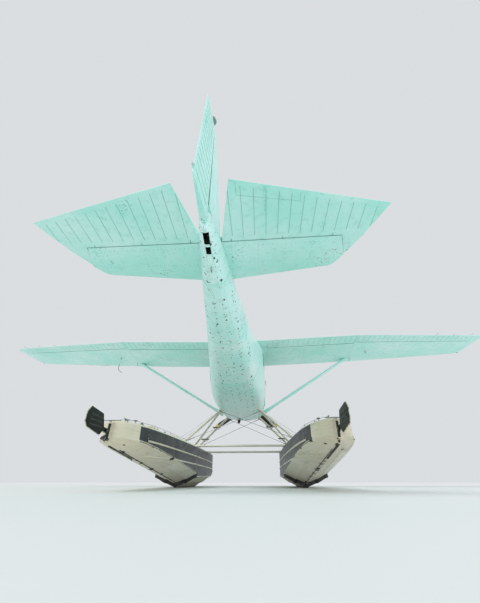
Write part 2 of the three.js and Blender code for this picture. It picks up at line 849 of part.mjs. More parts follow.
function tailplane() {
  const t = TAILPLANE;
  const reach = t.rakeX + 20;
  const leadAt = (x) => t.rootLead + ((t.tipLead - t.rootLead) * x) / t.tipX;
  const halfAt = (x) => t.rootHalf + ((t.tipHalf - t.rootHalf) * x) / t.tipX;
  const rings = [20, reach].map((x) =>
    fixedProfile(leadAt(x), halfAt(x)).map(([s, h]) => [x, ELEVATOR_Y - s, TAIL_Z + h]),
  );
  const outline = [
    [0, ELEVATOR_Y - 900],
    [t.tipX - 5, ELEVATOR_Y - 900],
    [t.tipX, ELEVATOR_Y - t.tipLead],
    [t.rakeX - CLEAR, ELEVATOR_Y - t.rakeLead],
    [t.hornX - CLEAR, ELEVATOR_Y],
    [0, ELEVATOR_Y],
  ];
  const cove = rod(
    [0, ELEVATOR_Y, TAIL_Z],
    [t.hornX + 60, ELEVATOR_Y, TAIL_Z],
    elevatorNose(0) + CLEAR,
    elevatorNose(t.hornX + 60) + CLEAR,
    16,
  );
  const plate = common(skin(rings), planPrism(outline, 2000, 2400));
  return join(
    cut(plate, fuselageGrown, cove),
    ...elevatorLugs.map((lug) => lug.plate),
  );
}

const elevatorEnds = [0, TAILPLANE.hornX].map((x) => ({
  point: [x, ELEVATOR_Y, TAIL_Z],
  radius: elevatorNose(x),
}));
const elevatorLugs = [0.16, 0.55, 0.93].map((t) => lugOnLine(elevatorEnds, t, 20));

function elevatorHalf() {
  const e = ELEVATOR;
  const slope = (e.tipChord - e.rootChord) / (e.tipX - e.cutX);
  const chordAt = (x) => e.rootChord + slope * (x - e.cutX);
  const rings = beadStations(e.rootX, e.tipX).map(({ at, bead }) =>
    movingProfile(elevatorNose(at), chordAt(at), bead).map(([s, h]) => [
      at,
      ELEVATOR_Y + s,
      TAIL_Z + h,
    ]),
  );
  const t = TAILPLANE;
  const tipAtHinge = t.rakeX + ((e.tipX - t.rakeX) * t.rakeLead) / (t.rakeLead + e.tipChord);
  const outline = [
    [e.rootX, ELEVATOR_Y - 100],
    [tipAtHinge - 20, ELEVATOR_Y - 100],
    [tipAtHinge, ELEVATOR_Y],
    [e.tipX, ELEVATOR_Y + e.tipChord],
    [e.tipX, ELEVATOR_Y + 900],
    [e.cutX, ELEVATOR_Y + 900],
    [e.cutX, ELEVATOR_Y + e.rootChord],
    [e.rootX, ELEVATOR_Y],
  ];
  const hornNose = elevatorNose(t.hornX);
  const horn = common(
    sidePrism(
      [
        [-t.rakeLead, -5],
        [-t.rakeLead + 24, -14],
        [-20, -hornNose],
        [30, -hornNose + 2],
        [30, hornNose - 2],
        [-20, hornNose],
        [-t.rakeLead + 24, 14],
        [-t.rakeLead, 5],
      ].map(([s, h]) => [ELEVATOR_Y + s, TAIL_Z + h]),
      t.hornX - 20,
      e.tipX,
    ),
    planPrism(
      [
        [t.hornX, ELEVATOR_Y],
        [t.rakeX, ELEVATOR_Y - t.rakeLead],
        [tipAtHinge, ELEVATOR_Y],
        [tipAtHinge + 12, ELEVATOR_Y + 30],
        [t.hornX, ELEVATOR_Y + 30],
      ],
      2000,
      2400,
    ),
  );
  const flat = common(skin(rings), planPrism(outline, 2000, 2400));
  return cut(join(flat, horn), ...elevatorLugs.map((lug) => lug.slot));
}

const TORQUE_TUBE = 15;
function elevator() {
  const half = elevatorHalf();
  const reach = ELEVATOR.rootX + 20;
  const tube = rod([-reach, ELEVATOR_Y, TAIL_Z], [reach, ELEVATOR_Y, TAIL_Z], TORQUE_TUBE);
  return join(half, mirror(half), tube);
}

// Fin and rudder
const FIN_BASE = 2250;
const RUDDER_BASE = 2040;
const HORN_BASE = 3520;
const finNose = (z) => 34 - (12 * (z - RUDDER_BASE)) / (FIN_TOP - RUDDER_BASE);
const rudderEnds = [RUDDER_BASE, FIN_TOP].map((z) => ({
  point: [0, RUDDER_Y, z],
  radius: finNose(z),
}));

// Hinge lugs of the rudder lie flat and reach forward
function rudderLug(z) {
  const radius = finNose(z);
  const disc = rod([0, RUDDER_Y, z - LUG / 2], [0, RUDDER_Y, z + LUG / 2], 0.55 * radius, 0.55 * radius, 10);
  const bar = block(
    -0.4 * radius,
    0.4 * radius,
    RUDDER_Y - radius - 44,
    RUDDER_Y,
    z - LUG / 2,
    z + LUG / 2,
  );
  const slot = rod(
    [0, RUDDER_Y, z - LUG / 2 - SEAT],
    [0, RUDDER_Y, z + LUG / 2 + SEAT],
    radius + 8,
    radius + 8,
    16,
  );
  return { plate: join(disc, bar), slot };
}
const finLugs = [2420, 2900, 3380].map(rudderLug);
const tailLug = rudderLug(2150);

function fin() {
  const leadAt = (z) => 1090 - ((z - 2320) * 960) / (FIN_TOP - 2320);
  const halfAt = (z) => 50 - ((z - FIN_BASE) * 26) / (FIN_TOP - FIN_BASE);
  const rings = [FIN_BASE, FIN_TOP - 40, FIN_TOP].map((z, i) =>
    fixedProfile(leadAt(z) - (i === 2 ? 50 : 0), halfAt(z) * (i === 2 ? 0.5 : 1)).map(([s, h]) => [
      h,
      RUDDER_Y - s,
      z,
    ]),
  );
  const dorsal = sidePrism(
    [
      [1640, 2330],
      [2900, 2260],
      [2900, 2700],
      [2640, 2500],
    ],
    -16,
    16,
  );
  const cove = rod(
    [0, RUDDER_Y, FIN_BASE - 60],
    [0, RUDDER_Y, FIN_TOP + 60],
    finNose(FIN_BASE) + CLEAR,
    finNose(FIN_TOP) + CLEAR,
    16,
  );
  const hornRoom = block(-80, 80, 3380, 3800, HORN_BASE - CLEAR, FIN_TOP + 20);
  const plate = cut(join(skin(rings), dorsal), fuselageGrown, cove, hornRoom);
  return join(plate, ...finLugs.map((lug) => lug.plate));
}

const TAIL_LIGHT = 25;
function rudder() {
  const chordAt = (z) => REAR - TAIL_LIGHT - RUDDER_Y - ((z - RUDDER_BASE) * 95) / (FIN_TOP - RUDDER_BASE);
  const rings = beadStations(RUDDER_BASE, FIN_TOP - 40).map(({ at, bead }) =>
    movingProfile(finNose(at), chordAt(at), bead).map(([s, h]) => [h, RUDDER_Y + s, at]),
  );
  const top = movingProfile(finNose(FIN_TOP) * 0.5, chordAt(FIN_TOP) - 60, 0);
  rings.push(top.map(([s, h]) => [h, RUDDER_Y + s, FIN_TOP]));
  const horn = skin(
    [HORN_BASE, FIN_TOP - 40, FIN_TOP].map((z, i) =>
      fixedProfile([240, 190, 130][i], [24, 22, 10][i]).map(([s, h]) => [h, RUDDER_Y + 10 - s, z]),
    ),
  );
  const light = rod([0, REAR - TAIL_LIGHT - 12, 2120], [0, REAR, 2120], 15, 11, 12);
  return cut(join(skin(rings), horn, light), ...[...finLugs, tailLug].map((lug) => lug.slot));
}

// Tailcone with the baggage door's opening and the two wells in its end
const WELLS = [
  // y from, y to, half width
  [3290, 3375, 26],
  [3400, 3520, 30],
];
const baggageHinges = BAGGAGE_HINGE.heights.map((z) => {
  return uprightHinge(BAGGAGE_HINGE.x, BAGGAGE_HINGE.y, z);
});

function tailcone() {
  const shell = cut(fuselageBody(CABIN_END + SEAT, TAIL_END), cabinVoid);
  const wells = WELLS.map(([y0, y1, half]) => block(-half, half, y0, y1, 1900, 2080));
  const elevatorSlot = block(-200, 200, ELEVATOR_Y - 24, ELEVATOR_Y + 24, TAIL_Z - 24, TAIL_Z + 24);
  const open = cut(
    shell,
    ...wells,
    elevatorSlot,
    sidePrism(BAGGAGE_DOOR, 200, 700),
    ...baggageHinges.map((hinge) => hinge.swingingRoom),
  );
  return join(open, tailLug.plate, ...baggageHinges.flatMap((hinge) => hinge.fixed));
}

function baggageDoor() {
  const shell = cut(fuselageBody(CABIN_END + SEAT, TAIL_END), cabinVoid);
  const panel = common(shell, sidePrism(inset(BAGGAGE_DOOR, DOOR_GAP), 200, 700));
  return join(
    cut(panel, ...baggageHinges.flatMap((hinge) => hinge.fixedRoom)),
    ...baggageHinges.map((hinge) => hinge.swinging),
  );
}

// Cabin fittings
const PANEL = { y: -2040, thick: 40, z0: 1790, z1: 2096 };
const YOKE_X = 250;
function instrumentPanel() {
  const board = join(
    block(-700, 700, PANEL.y, PANEL.y + PANEL.thick, PANEL.z0, PANEL.z1),
    block(-700, 700, FIREWALL, PANEL.y + PANEL.thick, PANEL.z1 - 22, PANEL.z1),
  );
  const yokes = [-YOKE_X, YOKE_X].flatMap((x) => [
    rod([x, PANEL.y + 10, 1925], [x, PANEL.y + 300, 1925], 14),
    rod([x - 130, PANEL.y + 290, 1925], [x + 130, PANEL.y + 290, 1925], 13),
    rod([x - 130, PANEL.y + 290, 1925], [x - 150, PANEL.y + 290, 2010], 13),
    rod([x + 130, PANEL.y + 290, 1925], [x + 150, PANEL.y + 290, 2010], 13),
  ]);
  return join(common(board, voidForFittings), ...yokes);
}

function frontSeat(x) {
  const foot = FLOOR + SEAT;
  const legs = [-1, 1].map((side) =>
    block(x + side * 140 - 20, x + side * 140 + 20, -1600, -1180, foot, 1750),
  );
  const cushion = block(x - 225, x + 225, -1640, -1160, 1740, 1860);
  const back = sidePrism(
    [
      [-1200, 1800],
      [-1100, 1800],
      [-1010, 2340],
      [-1090, 2360],
    ],
    x - 215,
    x + 215,
  );
  return join(cushion, back, ...legs);
}

function rearSeat() {
  const foot = FLOOR + SEAT;
  return join(
    block(-420, 420, -820, -380, 1730, 1850),
    block(-380, 380, -760, -400, foot, 1740),
    sidePrism(
      [
        [-420, 1800],
        [-310, 1800],
        [-230, 2300],
        [-310, 2320],
      ],
      -410,
      410,
    ),
  );
}

// Floats
function floatRing([y, keel, beam, chine, deck, edge, crown]) {
  const rise = chine - keel;
  const keelHalf = Math.min(KEEL_HALF, beam / 3);
  const half = [
    [keelHalf, keel],
    [keelHalf + 2, keel + KEEL_STRIP],
    [0.42 * beam + 8, keel + 0.42 * rise],
    [0.5 * beam + 8, keel + 0.43 * rise],
    [0.85 * beam, keel + 0.84 * rise],
    [beam + SPRAY_RAIL, chine],
    [beam + SPRAY_RAIL, chine + 8],
    [beam + 3, chine + 20],
    [deck, edge],
    [0.92 * deck, edge + 0.3 * (crown - edge)],
    [0.7 * deck, edge + 0.7 * (crown - edge)],
    [0.35 * deck, crown],
  ];
  const mirrored = half.map(([x, z]) => [-x, z]).reverse();
  return [...half, ...mirrored].map(([x, z]) => [FLOAT_X + x, y, z]);
}

const floatRows = [FOREBODY, AFTERBODY].flatMap((table) => smoothRows(table, FLOAT_STEP));
const floatHull = skin(floatRows.map(floatRing));
const STERN_LUGS = [
  // z from, z to
  [468, 480],
  [640, 652],
];
function floatBody() {
  const lugs = STERN_LUGS.map(([z0, z1]) =>
    block(FLOAT_X - 18, FLOAT_X + 18, STERN - 40, POST_Y + 18, z0, z1),
  );
  return join(floatHull, ...lugs);
}

// Float struts, from the fuselage to the float's deck
const FRONT = { top: [360, -2240, 1500], foot: [1190, -2330, 745] };
const AFT = { top: [380, -1010, 1430], foot: [1190, -960, 740] };
function seatedStrut(a, b, chord, thick) {
  const tube = fairedTube(a, b, chord, thick);
  return cut(tube, fuselageGrown, moved(floatHull, 0, 0, SEAT));
}
const frontStrut = () => seatedStrut(FRONT.top, FRONT.foot, 110, 44);
const aftStruts = () =>
  join(
    seatedStrut(AFT.top, AFT.foot, 110, 44),
    seatedStrut(AFT.top, [FRONT.foot[0], FRONT.foot[1] + 330, FRONT.foot[2]], 90, 38),
  );

function spreader(y) {
  const tube = fairedTube([-1000, y, 700], [1000, y, 700], 90, 40);
  const beside = [-SEAT, 40].map((shift) => moved(floatHull, shift, 0, 0));
  return cut(tube, ...bothSides(beside));
}

// Water rudders, drawn raised
const CHEEK = 8;
const BLADE_HALF = 6;
function waterRudderPost() {
  const x = FLOAT_X;
  const inner = BLADE_HALF + SEAT;
  const outer = inner + CHEEK;
  const post = rod([x, POST_Y, 480 + SEAT], [x, POST_Y, 640 - SEAT], 14);
  const block0 = block(x - outer, x + outer, POST_Y, POST_Y + 24, PIVOT_Z - 26, PIVOT_Z + 26);
  const cheeks = [-1, 1].map((side) => {
    const [a, b] = side > 0 ? [inner, outer] : [-outer, -inner];
    return block(x + a, x + b, POST_Y, PIVOT_Y + 20, PIVOT_Z - 22, PIVOT_Z + 22);
  });
  return join(post, block0, ...cheeks);
}

const RUDDER_BLADE = [
  // distance from the pivot, height above it
  [0, -20],
  [70, -20],
  [110, -70],
  [380, -66],
  [425, -30],
  [440, 50],
  [400, 120],
  [150, 130],
  [95, 60],
  [70, 20],
  [0, 20],
  [-18, 8],
  [-18, -8],
];
const RAISED = THREE.MathUtils.degToRad(8);
function waterRudderBlade() {
  const outline = RUDDER_BLADE.map(([s, h]) => [
    PIVOT_Y + s * Math.cos(RAISED) - h * Math.sin(RAISED),
    PIVOT_Z + s * Math.sin(RAISED) + h * Math.cos(RAISED),
  ]);
  return sidePrism(outline, FLOAT_X - BLADE_HALF, FLOAT_X + BLADE_HALF);
}

// Assembly
const aircraft = new THREE.Group();
function add(name, geometry, material, side = 1) {
  const mesh = new THREE.Mesh(geometry, material);
  mesh.name = name;
  mesh.scale.x = side;
  aircraft.add(mesh);
}

const { lower, upper } = cabinHalves();
const windscreen = common(glassSheet, sidePrism(inset(WINDSCREEN, SEAT), -700, 700));

add("cowl", cowling(), mint);
add("engine", engineBlock(), steel);
add("propeller", propeller(), metal);
add("spinner", spinner(), metal);
add("cabin_lower", lower, mint);
add("cabin_top", upper, mint);
add("windscreen", windscreen, glass);
add("instrument_panel", instrumentPanel(), trim);
add("rear_seat", rearSeat(), cloth);
add("tailcone", tailcone(), mint);
add("baggage_door", baggageDoor(), mint);
add("elevator", elevator(), mint);
add("fin", fin(), mint);
add("rudder", rudder(), mint);
add("spreader_front", spreader(FRONT.foot[1]), ivory);
add("spreader_aft", spreader(AFT.foot[1]), ivory);

// Pieces that the aircraft has once on each side
const pairs = [
  ["door", cabinDoor(), mint],
  ["door_window", paneOf(DOOR_WINDOW, 200, 700), glass],
  ["side_window", paneOf(SIDE_WINDOW, 200, 700), glass],
  ["seat", frontSeat(YOKE_X), cloth],
  ["wing", wing(), mint],
  ["aileron", aileron(), mint],
  ["flap", flap(), mint],
  ["wing_strut", wingStrut(), mint],
  ["tailplane", tailplane(), mint],
  ["float", floatBody(), ivory],
  ["float_strut_front", frontStrut(), ivory],
  ["float_strut_aft", aftStruts(), ivory],
  ["water_rudder_post", waterRudderPost(), darkPaint],
  ["water_rudder_blade", waterRudderBlade(), darkPaint],
];
for (const [name, geometry, material] of pairs) {
  add(name + "_left", geometry, material, 1);
  add(name + "_right", geometry.clone(), material, -1);
}

export default aircraft;
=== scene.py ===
"""Looks of a high-wing floatplane, dressed over its fixed frame. Metres: +X is the aircraft's left, +Y aft, +Z up."""
import json
import math

import bmesh
import bpy
from mathutils import Matrix, Vector
from mathutils.bvhtree import BVHTree
from mathutils.kdtree import KDTree

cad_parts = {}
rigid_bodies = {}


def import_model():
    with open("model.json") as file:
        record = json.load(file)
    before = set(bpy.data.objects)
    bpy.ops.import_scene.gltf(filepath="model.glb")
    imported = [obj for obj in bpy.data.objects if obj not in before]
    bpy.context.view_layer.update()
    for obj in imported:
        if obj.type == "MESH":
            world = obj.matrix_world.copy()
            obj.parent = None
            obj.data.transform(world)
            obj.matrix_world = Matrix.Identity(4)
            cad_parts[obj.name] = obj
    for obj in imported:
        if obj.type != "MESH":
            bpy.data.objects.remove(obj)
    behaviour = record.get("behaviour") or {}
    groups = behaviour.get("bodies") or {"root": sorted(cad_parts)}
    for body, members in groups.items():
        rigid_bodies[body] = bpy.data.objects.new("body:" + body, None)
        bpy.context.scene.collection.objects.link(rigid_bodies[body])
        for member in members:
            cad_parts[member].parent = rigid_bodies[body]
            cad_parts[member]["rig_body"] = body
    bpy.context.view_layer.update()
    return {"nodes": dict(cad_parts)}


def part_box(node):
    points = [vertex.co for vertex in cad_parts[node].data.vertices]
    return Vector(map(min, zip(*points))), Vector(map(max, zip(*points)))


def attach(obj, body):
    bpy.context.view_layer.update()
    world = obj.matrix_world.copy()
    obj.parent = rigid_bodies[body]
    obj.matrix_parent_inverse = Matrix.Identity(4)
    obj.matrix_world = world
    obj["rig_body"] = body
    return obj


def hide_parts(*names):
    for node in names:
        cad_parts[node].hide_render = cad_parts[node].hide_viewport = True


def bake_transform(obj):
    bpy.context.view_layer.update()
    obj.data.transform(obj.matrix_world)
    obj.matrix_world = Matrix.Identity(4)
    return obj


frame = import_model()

bl_info = {
    "name": "Floatplane dresser",
    "version": (1, 0, 0),
    "blender": (4, 5, 0),
    "location": "3D View > Sidebar > Floatplane",
    "description": "Builds the finish and the fine fittings of a floatplane round its frame",
    "category": "Object",
}

SIDES = (("left", 1), ("right", -1))
WELD = 2e-5  # corners nearer than this are one corner
X, Y, Z = Vector((1, 0, 0)), Vector((0, 1, 0)), Vector((0, 0, 1))

RIM_BEND = math.radians(40)  # edges sharper than this end a pane or a panel

RIVET_RADIUS = 0.0055  # drawn about a third larger than real, so that rows still read from the tail
RIVET_HEIGHT = 0.0018
RIVET_PITCH = 0.045
LAP_WIDTH, LAP_PROUD = 0.05, 0.0014
LAP_ROW = 0.013  # how far the two rivet rows of a lap stand from its middle


class FloatplaneColours(bpy.types.PropertyGroup):
    """Paint and material colours, as sRGB hex values"""

    mint: bpy.props.StringProperty(name="Mint", description="Enamel of the airframe", default="#B0F3E6")
    mint_pale: bpy.props.StringProperty(name="Pale mint", description="Faded mint enamel", default="#CFFAF3")
    mint_deep: bpy.props.StringProperty(name="Deep mint", description="Stained mint enamel", default="#82CEBC")
    # The fuselage's mint is paler than the mint of the wings and tail
    body: bpy.props.StringProperty(name="Fuselage", description="Paler mint enamel of the fuselage", default="#BFF6ED")
    body_pale: bpy.props.StringProperty(name="Pale fuselage", description="Palest mint enamel of the fuselage", default="#E0FDF9")
    ivory: bpy.props.StringProperty(name="Ivory", description="Enamel of the floats", default="#DDD8C0")
    ivory_pale: bpy.props.StringProperty(name="Pale ivory", description="Bleached float enamel", default="#EFEBDD")
    ivory_deep: bpy.props.StringProperty(name="Stained ivory", description="Enamel by the sterns", default="#C6AE74")
    bare: bpy.props.StringProperty(name="Worn", description="Where the float paint is rubbed off", default="#1E1C18")


class FloatplaneStage(bpy.types.PropertyGroup):
    """Camera and floor colour"""

    place: bpy.props.FloatVectorProperty(
        name="Camera", description="Camera's place, near the floor behind the tail",
        default=(-0.44, 5.28, 0.09), subtype="TRANSLATION", unit="LENGTH",
    )
    turn: bpy.props.FloatProperty(
        name="Turn", description="Camera's turn towards the left wing", default=math.radians(4.0), subtype="ANGLE",
    )
    tilt: bpy.props.FloatProperty(
        name="Tilt", description="How far the camera looks up", default=math.radians(33.0), subtype="ANGLE",
    )
    lens: bpy.props.FloatProperty(
        name="Lens", description="Focal length on a 36 mm sensor, in millimetres", default=16.6,
    )
    floor_grey: bpy.props.StringProperty(name="Floor", description="Colour of the floor", default="#E6E7E6")


def linear(hex_colour):
    """Linear RGBA of an sRGB hex colour."""
    channels = [int(hex_colour[i : i + 2], 16) / 255 for i in (1, 3, 5)]
    curve = [c / 12.92 if c <= 0.04045 else ((c + 0.055) / 1.055) ** 2.4 for c in channels]
    return (*curve, 1.0)


def add_node(tree, kind, settings=None, links=None):
    """Adds one node, a shader's unless its kind says otherwise. Settings and links name its properties and sockets, or
    give a socket's number. A link comes from a socket, or from another node's main output."""
    made = tree.nodes.new(kind if "Node" in kind else f"ShaderNode{kind}")
    for name, value in (settings or {}).items():
        if isinstance(value, str) and value.startswith("#"):
            value = linear(value)
        if isinstance(name, int) or name in made.inputs:
            made.inputs[name].default_value = value
        else:
            setattr(made, name, value)
    for name, source in (links or {}).items():
        if isinstance(source, bpy.types.Node):
            source = source.outputs[2 if source.bl_idname == "ShaderNodeMix" else 0]
        tree.links.new(source, made.inputs[name])
    return made


def new_material(name):
    """Empty material, with its node tree and the place on the piece that patterns read."""
    material = bpy.data.materials.new(name)
    material.use_nodes = True
    tree = material.node_tree
    tree.nodes.clear()
    return material, tree, add_node(tree, "TexCoord").outputs["Object"]


def shaded(material, settings, links):
    """Closes a material with its shader."""
    tree = material.node_tree
    add_node(tree, "OutputMaterial", links={"Surface": add_node(tree, "BsdfPrincipled", settings, links)})
    return material


def flaked_belly(tree, place, paint_colour):
    """Dark flakes of 20 to 50 mm where enamel has come off, in the middle of the belly and along its sides."""
    across = add_node(tree, "SeparateXYZ", links={"Vector": place}).outputs["X"]
    side = add_node(tree, "Math", {"operation": "ABSOLUTE"}, {0: across})
    lines = add_node(tree, "TexWave", {"Scale": 2.6, "Distortion": 1.6, "Detail": 2.0}, {"Vector": place})
    flakes = add_node(tree, "TexNoise", {"Scale": 24.0, "Detail": 2.0, "Roughness": 0.6}, {"Vector": place})
    likely = add_node(tree, "Math", {"operation": "MULTIPLY_ADD", 1: 0.10}, {0: lines.outputs["Fac"], 2: flakes})
    chip = add_node(tree, "MapRange", {"From Min": 0.715, "From Max": 0.73}, {"Value": likely})
    inboard = add_node(tree, "Math", {"operation": "LESS_THAN", 1: 0.34}, {0: side})
    normal = add_node(tree, "NewGeometry").outputs["Normal"]
    level = add_node(tree, "SeparateXYZ", links={"Vector": normal}).outputs["Z"]
    below = add_node(tree, "Math", {"operation": "LESS_THAN", 1: -0.25}, {0: level})
    where = add_node(tree, "Math", {"operation": "MULTIPLY"}, {0: inboard, 1: below})
    off = add_node(tree, "Math", {"operation": "MULTIPLY"}, {0: where, 1: chip})
    return add_node(tree, "Mix", {"data_type": "RGBA", 7: "#34453E"}, {0: off, 6: paint_colour})


def enamel_on_sheet(name, base, pale, deep, flaked=False):
    """Gloss enamel on thin rolled aluminium sheet: a soft sheen that wobbles where the sheet pillows between its
    frames, faded clouds, streaks that run down and small dark specks where it has begun to corrode."""
    material, tree, place = new_material(name)
    clouds = add_node(tree, "TexNoise", {"Scale": 1.3, "Detail": 4.0, "Roughness": 0.6}, {"Vector": place})
    fade = add_node(tree, "MapRange", {"From Min": 0.4, "From Max": 0.68}, {"Value": clouds})
    faded = add_node(tree, "Mix", {"data_type": "RGBA", 6: base, 7: pale}, {0: fade})
    stretched = add_node(tree, "Mapping", {"Scale": (14.0, 14.0, 1.4)}, {"Vector": place})
    runs = add_node(tree, "TexNoise", {"Scale": 1.0, "Detail": 5.0, "Roughness": 0.65}, {"Vector": stretched})
    streak = add_node(tree, "MapRange", {"From Min": 0.52, "From Max": 0.8, "To Max": 0.55}, {"Value": runs})
    streaked = add_node(tree, "Mix", {"data_type": "RGBA", 7: deep}, {0: streak, 6: faded})
    grain = add_node(tree, "TexNoise", {"Scale": 42.0, "Detail": 3.0}, {"Vector": place})
    where = add_node(tree, "TexNoise", {"Scale": 2.2, "Detail": 2.0}, {"Vector": place})
    both = add_node(tree, "Math", {"operation": "MULTIPLY"}, {0: grain, 1: where})
    specks = add_node(tree, "MapRange", {"From Min": 0.40, "From Max": 0.45, "To Max": 0.6}, {"Value": both})
    colour = add_node(tree, "Mix", {"data_type": "RGBA", 7: "#4C6A60"}, {0: specks, 6: streaked})
    if flaked:
        colour = flaked_belly(tree, place, colour)
    rough = add_node(tree, "MapRange", {"To Min": 0.26, "To Max": 0.52}, {"Value": runs})
    pillow = add_node(tree, "TexNoise", {"Scale": 3.2, "Detail": 1.0}, {"Vector": place})
    waves = add_node(tree, "Bump", {"Strength": 0.5, "Distance": 0.012}, {"Height": pillow})
    peel = add_node(tree, "TexNoise", {"Scale": 160.0, "Detail": 2.0}, {"Vector": place})
    skin = add_node(tree, "Bump", {"Strength": 0.12, "Distance": 0.001}, {"Height": peel, "Normal": waves})
    coat = {"Coat Weight": 0.25, "Coat Roughness": 0.2}
    return shaded(material, coat, {"Base Color": colour, "Roughness": rough, "Normal": skin})


# Places on the float bottoms that are rubbed black, as x, y, z and size
SCUFFS = (
    (1.20, -0.82, 0.105, 0.03), (1.29, 0.34, 0.245, 0.04), (1.27, 0.46, 0.252, 0.05), (0.93, 0.58, 0.385, 0.05),
    (1.40, 0.86, 0.350, 0.025), (-1.25, -0.72, 0.104, 0.03), (-1.25, -0.55, 0.124, 0.04), (-1.25, 0.40, 0.238, 0.06),
    (-1.25, 0.56, 0.258, 0.05), (-1.25, 0.92, 0.302, 0.03), (-1.25, 1.06, 0.319, 0.045), (-1.49, 0.33, 0.300, 0.045),
)


def float_enamel(colours):
    """Ivory enamel on riveted float plating: chalky, yellowed towards the sterns, scuffed along the bottom, with black
    patches along keel and chines where it is rubbed to the pitch underneath."""
    material, tree, place = new_material("chalked ivory enamel on aluminium")
    clouds = add_node(tree, "TexNoise", {"Scale": 1.7, "Detail": 5.0, "Roughness": 0.62}, {"Vector": place})
    fade = add_node(tree, "MapRange", {"From Min": 0.36, "From Max": 0.64}, {"Value": clouds})
    faded = add_node(tree, "Mix", {"data_type": "RGBA", 6: colours.ivory, 7: colours.ivory_pale}, {0: fade})
    back = add_node(tree, "SeparateXYZ", links={"Vector": place}).outputs["Y"]
    aft = add_node(tree, "MapRange", {"From Min": 0.7, "From Max": 2.0, "To Max": 0.6}, {"Value": back})
    blotch = add_node(tree, "Math", {"operation": "MULTIPLY"}, {0: aft, 1: clouds})
    yellowed = add_node(tree, "Mix", {"data_type": "RGBA", 7: colours.ivory_deep}, {0: blotch, 6: faded})
    stretched = add_node(tree, "Mapping", {"Scale": (3.0, 0.8, 14.0)}, {"Vector": place})
    runs = add_node(tree, "TexNoise", {"Scale": 1.6, "Detail": 5.0, "Roughness": 0.7}, {"Vector": stretched})
    grime = add_node(tree, "MapRange", {"From Min": 0.54, "From Max": 0.8, "To Max": 0.5}, {"Value": runs})
    grimed = add_node(tree, "Mix", {"data_type": "RGBA", 7: "#6E6A52"}, {0: grime, 6: yellowed})
    worn = add_node(tree, "Attribute", {"attribute_name": "edge_wear"}).outputs["Fac"]
    bites = add_node(tree, "TexNoise", {"Scale": 7.0, "Detail": 2.5, "Roughness": 0.55}, {"Vector": place})
    rubbed = add_node(tree, "Math", {"operation": "MULTIPLY_ADD", 1: 0.30}, {0: worn, 2: bites})
    for x, y, z, size in SCUFFS:
        away = add_node(tree, "VectorMath", {"operation": "DISTANCE", 1: (x, y, z)}, {0: place}).outputs["Value"]
        span = {"From Min": 0.5 * size, "From Max": 1.5 * size, "To Min": 0.5, "To Max": 0.0}
        near = add_node(tree, "MapRange", span, {"Value": away})
        more = add_node(tree, "Math", {"operation": "ADD"}, {0: near, 1: bites})
        rubbed = add_node(tree, "Math", {"operation": "MAXIMUM"}, {0: rubbed, 1: more})
    black = add_node(tree, "MapRange", {"From Min": 0.865, "From Max": 0.88}, {"Value": rubbed})
    colour = add_node(tree, "Mix", {"data_type": "RGBA", 7: colours.bare}, {0: black, 6: grimed})
    rough = add_node(tree, "MapRange", {"To Min": 0.38, "To Max": 0.68}, {"Value": clouds})
    dents = add_node(tree, "TexNoise", {"Scale": 3.5, "Detail": 1.5}, {"Vector": place})
    height = add_node(tree, "Math", {"operation": "SUBTRACT"}, {0: dents, 1: black})
    bump = add_node(tree, "Bump", {"Strength": 0.5, "Distance": 0.008}, {"Height": height})
    return shaded(material, {}, {"Base Color": colour, "Roughness": rough, "Normal": bump})


def plain_metal(name, base, roughness, brush=(1.0, 1.0, 1.0)):
    """Bare metal with fine brush marks and finger smudges, which break up its reflections."""
    material, tree, place = new_material(name)
    stretched = add_node(tree, "Mapping", {"Scale": brush}, {"Vector": place})
    marks = add_node(tree, "TexNoise", {"Scale": 60.0, "Detail": 4.0}, {"Vector": stretched})
    rough = add_node(tree, "MapRange", {"To Min": roughness - 0.1, "To Max": roughness + 0.15}, {"Value": marks})
    tone = add_node(tree, "TexNoise", {"Scale": 5.0, "Detail": 3.0}, {"Vector": place})
    shade = add_node(tree, "MapRange", {"To Min": 0.75, "To Max": 1.1}, {"Value": tone})
    colour = add_node(tree, "Mix", {"data_type": "RGBA", "blend_type": "MULTIPLY", 0: 1.0, 6: base}, {7: shade})
    bump = add_node(tree, "Bump", {"Strength": 0.08, "Distance": 0.001}, {"Height": marks})
    return shaded(material, {"Metallic": 1.0}, {"Base Color": colour, "Roughness": rough, "Normal": bump})


def clear_acrylic():
    """Window sheet of cast acrylic: clear, faintly green, with the haze of old polish."""
    material, tree, place = new_material("cast acrylic window sheet")
    haze = add_node(tree, "TexNoise", {"Scale": 9.0, "Detail": 5.0}, {"Vector": place})
    rough = add_node(tree, "MapRange", {"To Min": 0.0, "To Max": 0.06}, {"Value": haze})
    return shaded(material, {"Base Color": "#E6F3EF", "IOR": 1.49, "Transmission Weight": 1.0}, {"Roughness": rough})


def stained_enamel(name, base, stain, amount=0.8, scale=9.0, roughness=0.5):
    """Old enamel on a small fitting or a stained panel, with darker blotches of wear and grime."""
    material, tree, place = new_material(name)
    blotches = add_node(tree, "TexNoise", {"Scale": scale, "Detail": 5.0, "Roughness": 0.65}, {"Vector": place})
    where = add_node(tree, "MapRange", {"From Min": 0.38, "From Max": 0.66, "To Max": amount}, {"Value": blotches})
    colour = add_node(tree, "Mix", {"data_type": "RGBA", 6: base, 7: stain}, {0: where})
    rough = add_node(tree, "MapRange", {"To Min": roughness - 0.1, "To Max": roughness + 0.15}, {"Value": blotches})
    bump = add_node(tree, "Bump", {"Strength": 0.3, "Distance": 0.002}, {"Height": blotches})
    return shaded(material, {}, {"Base Color": colour, "Roughness": rough, "Normal": bump})


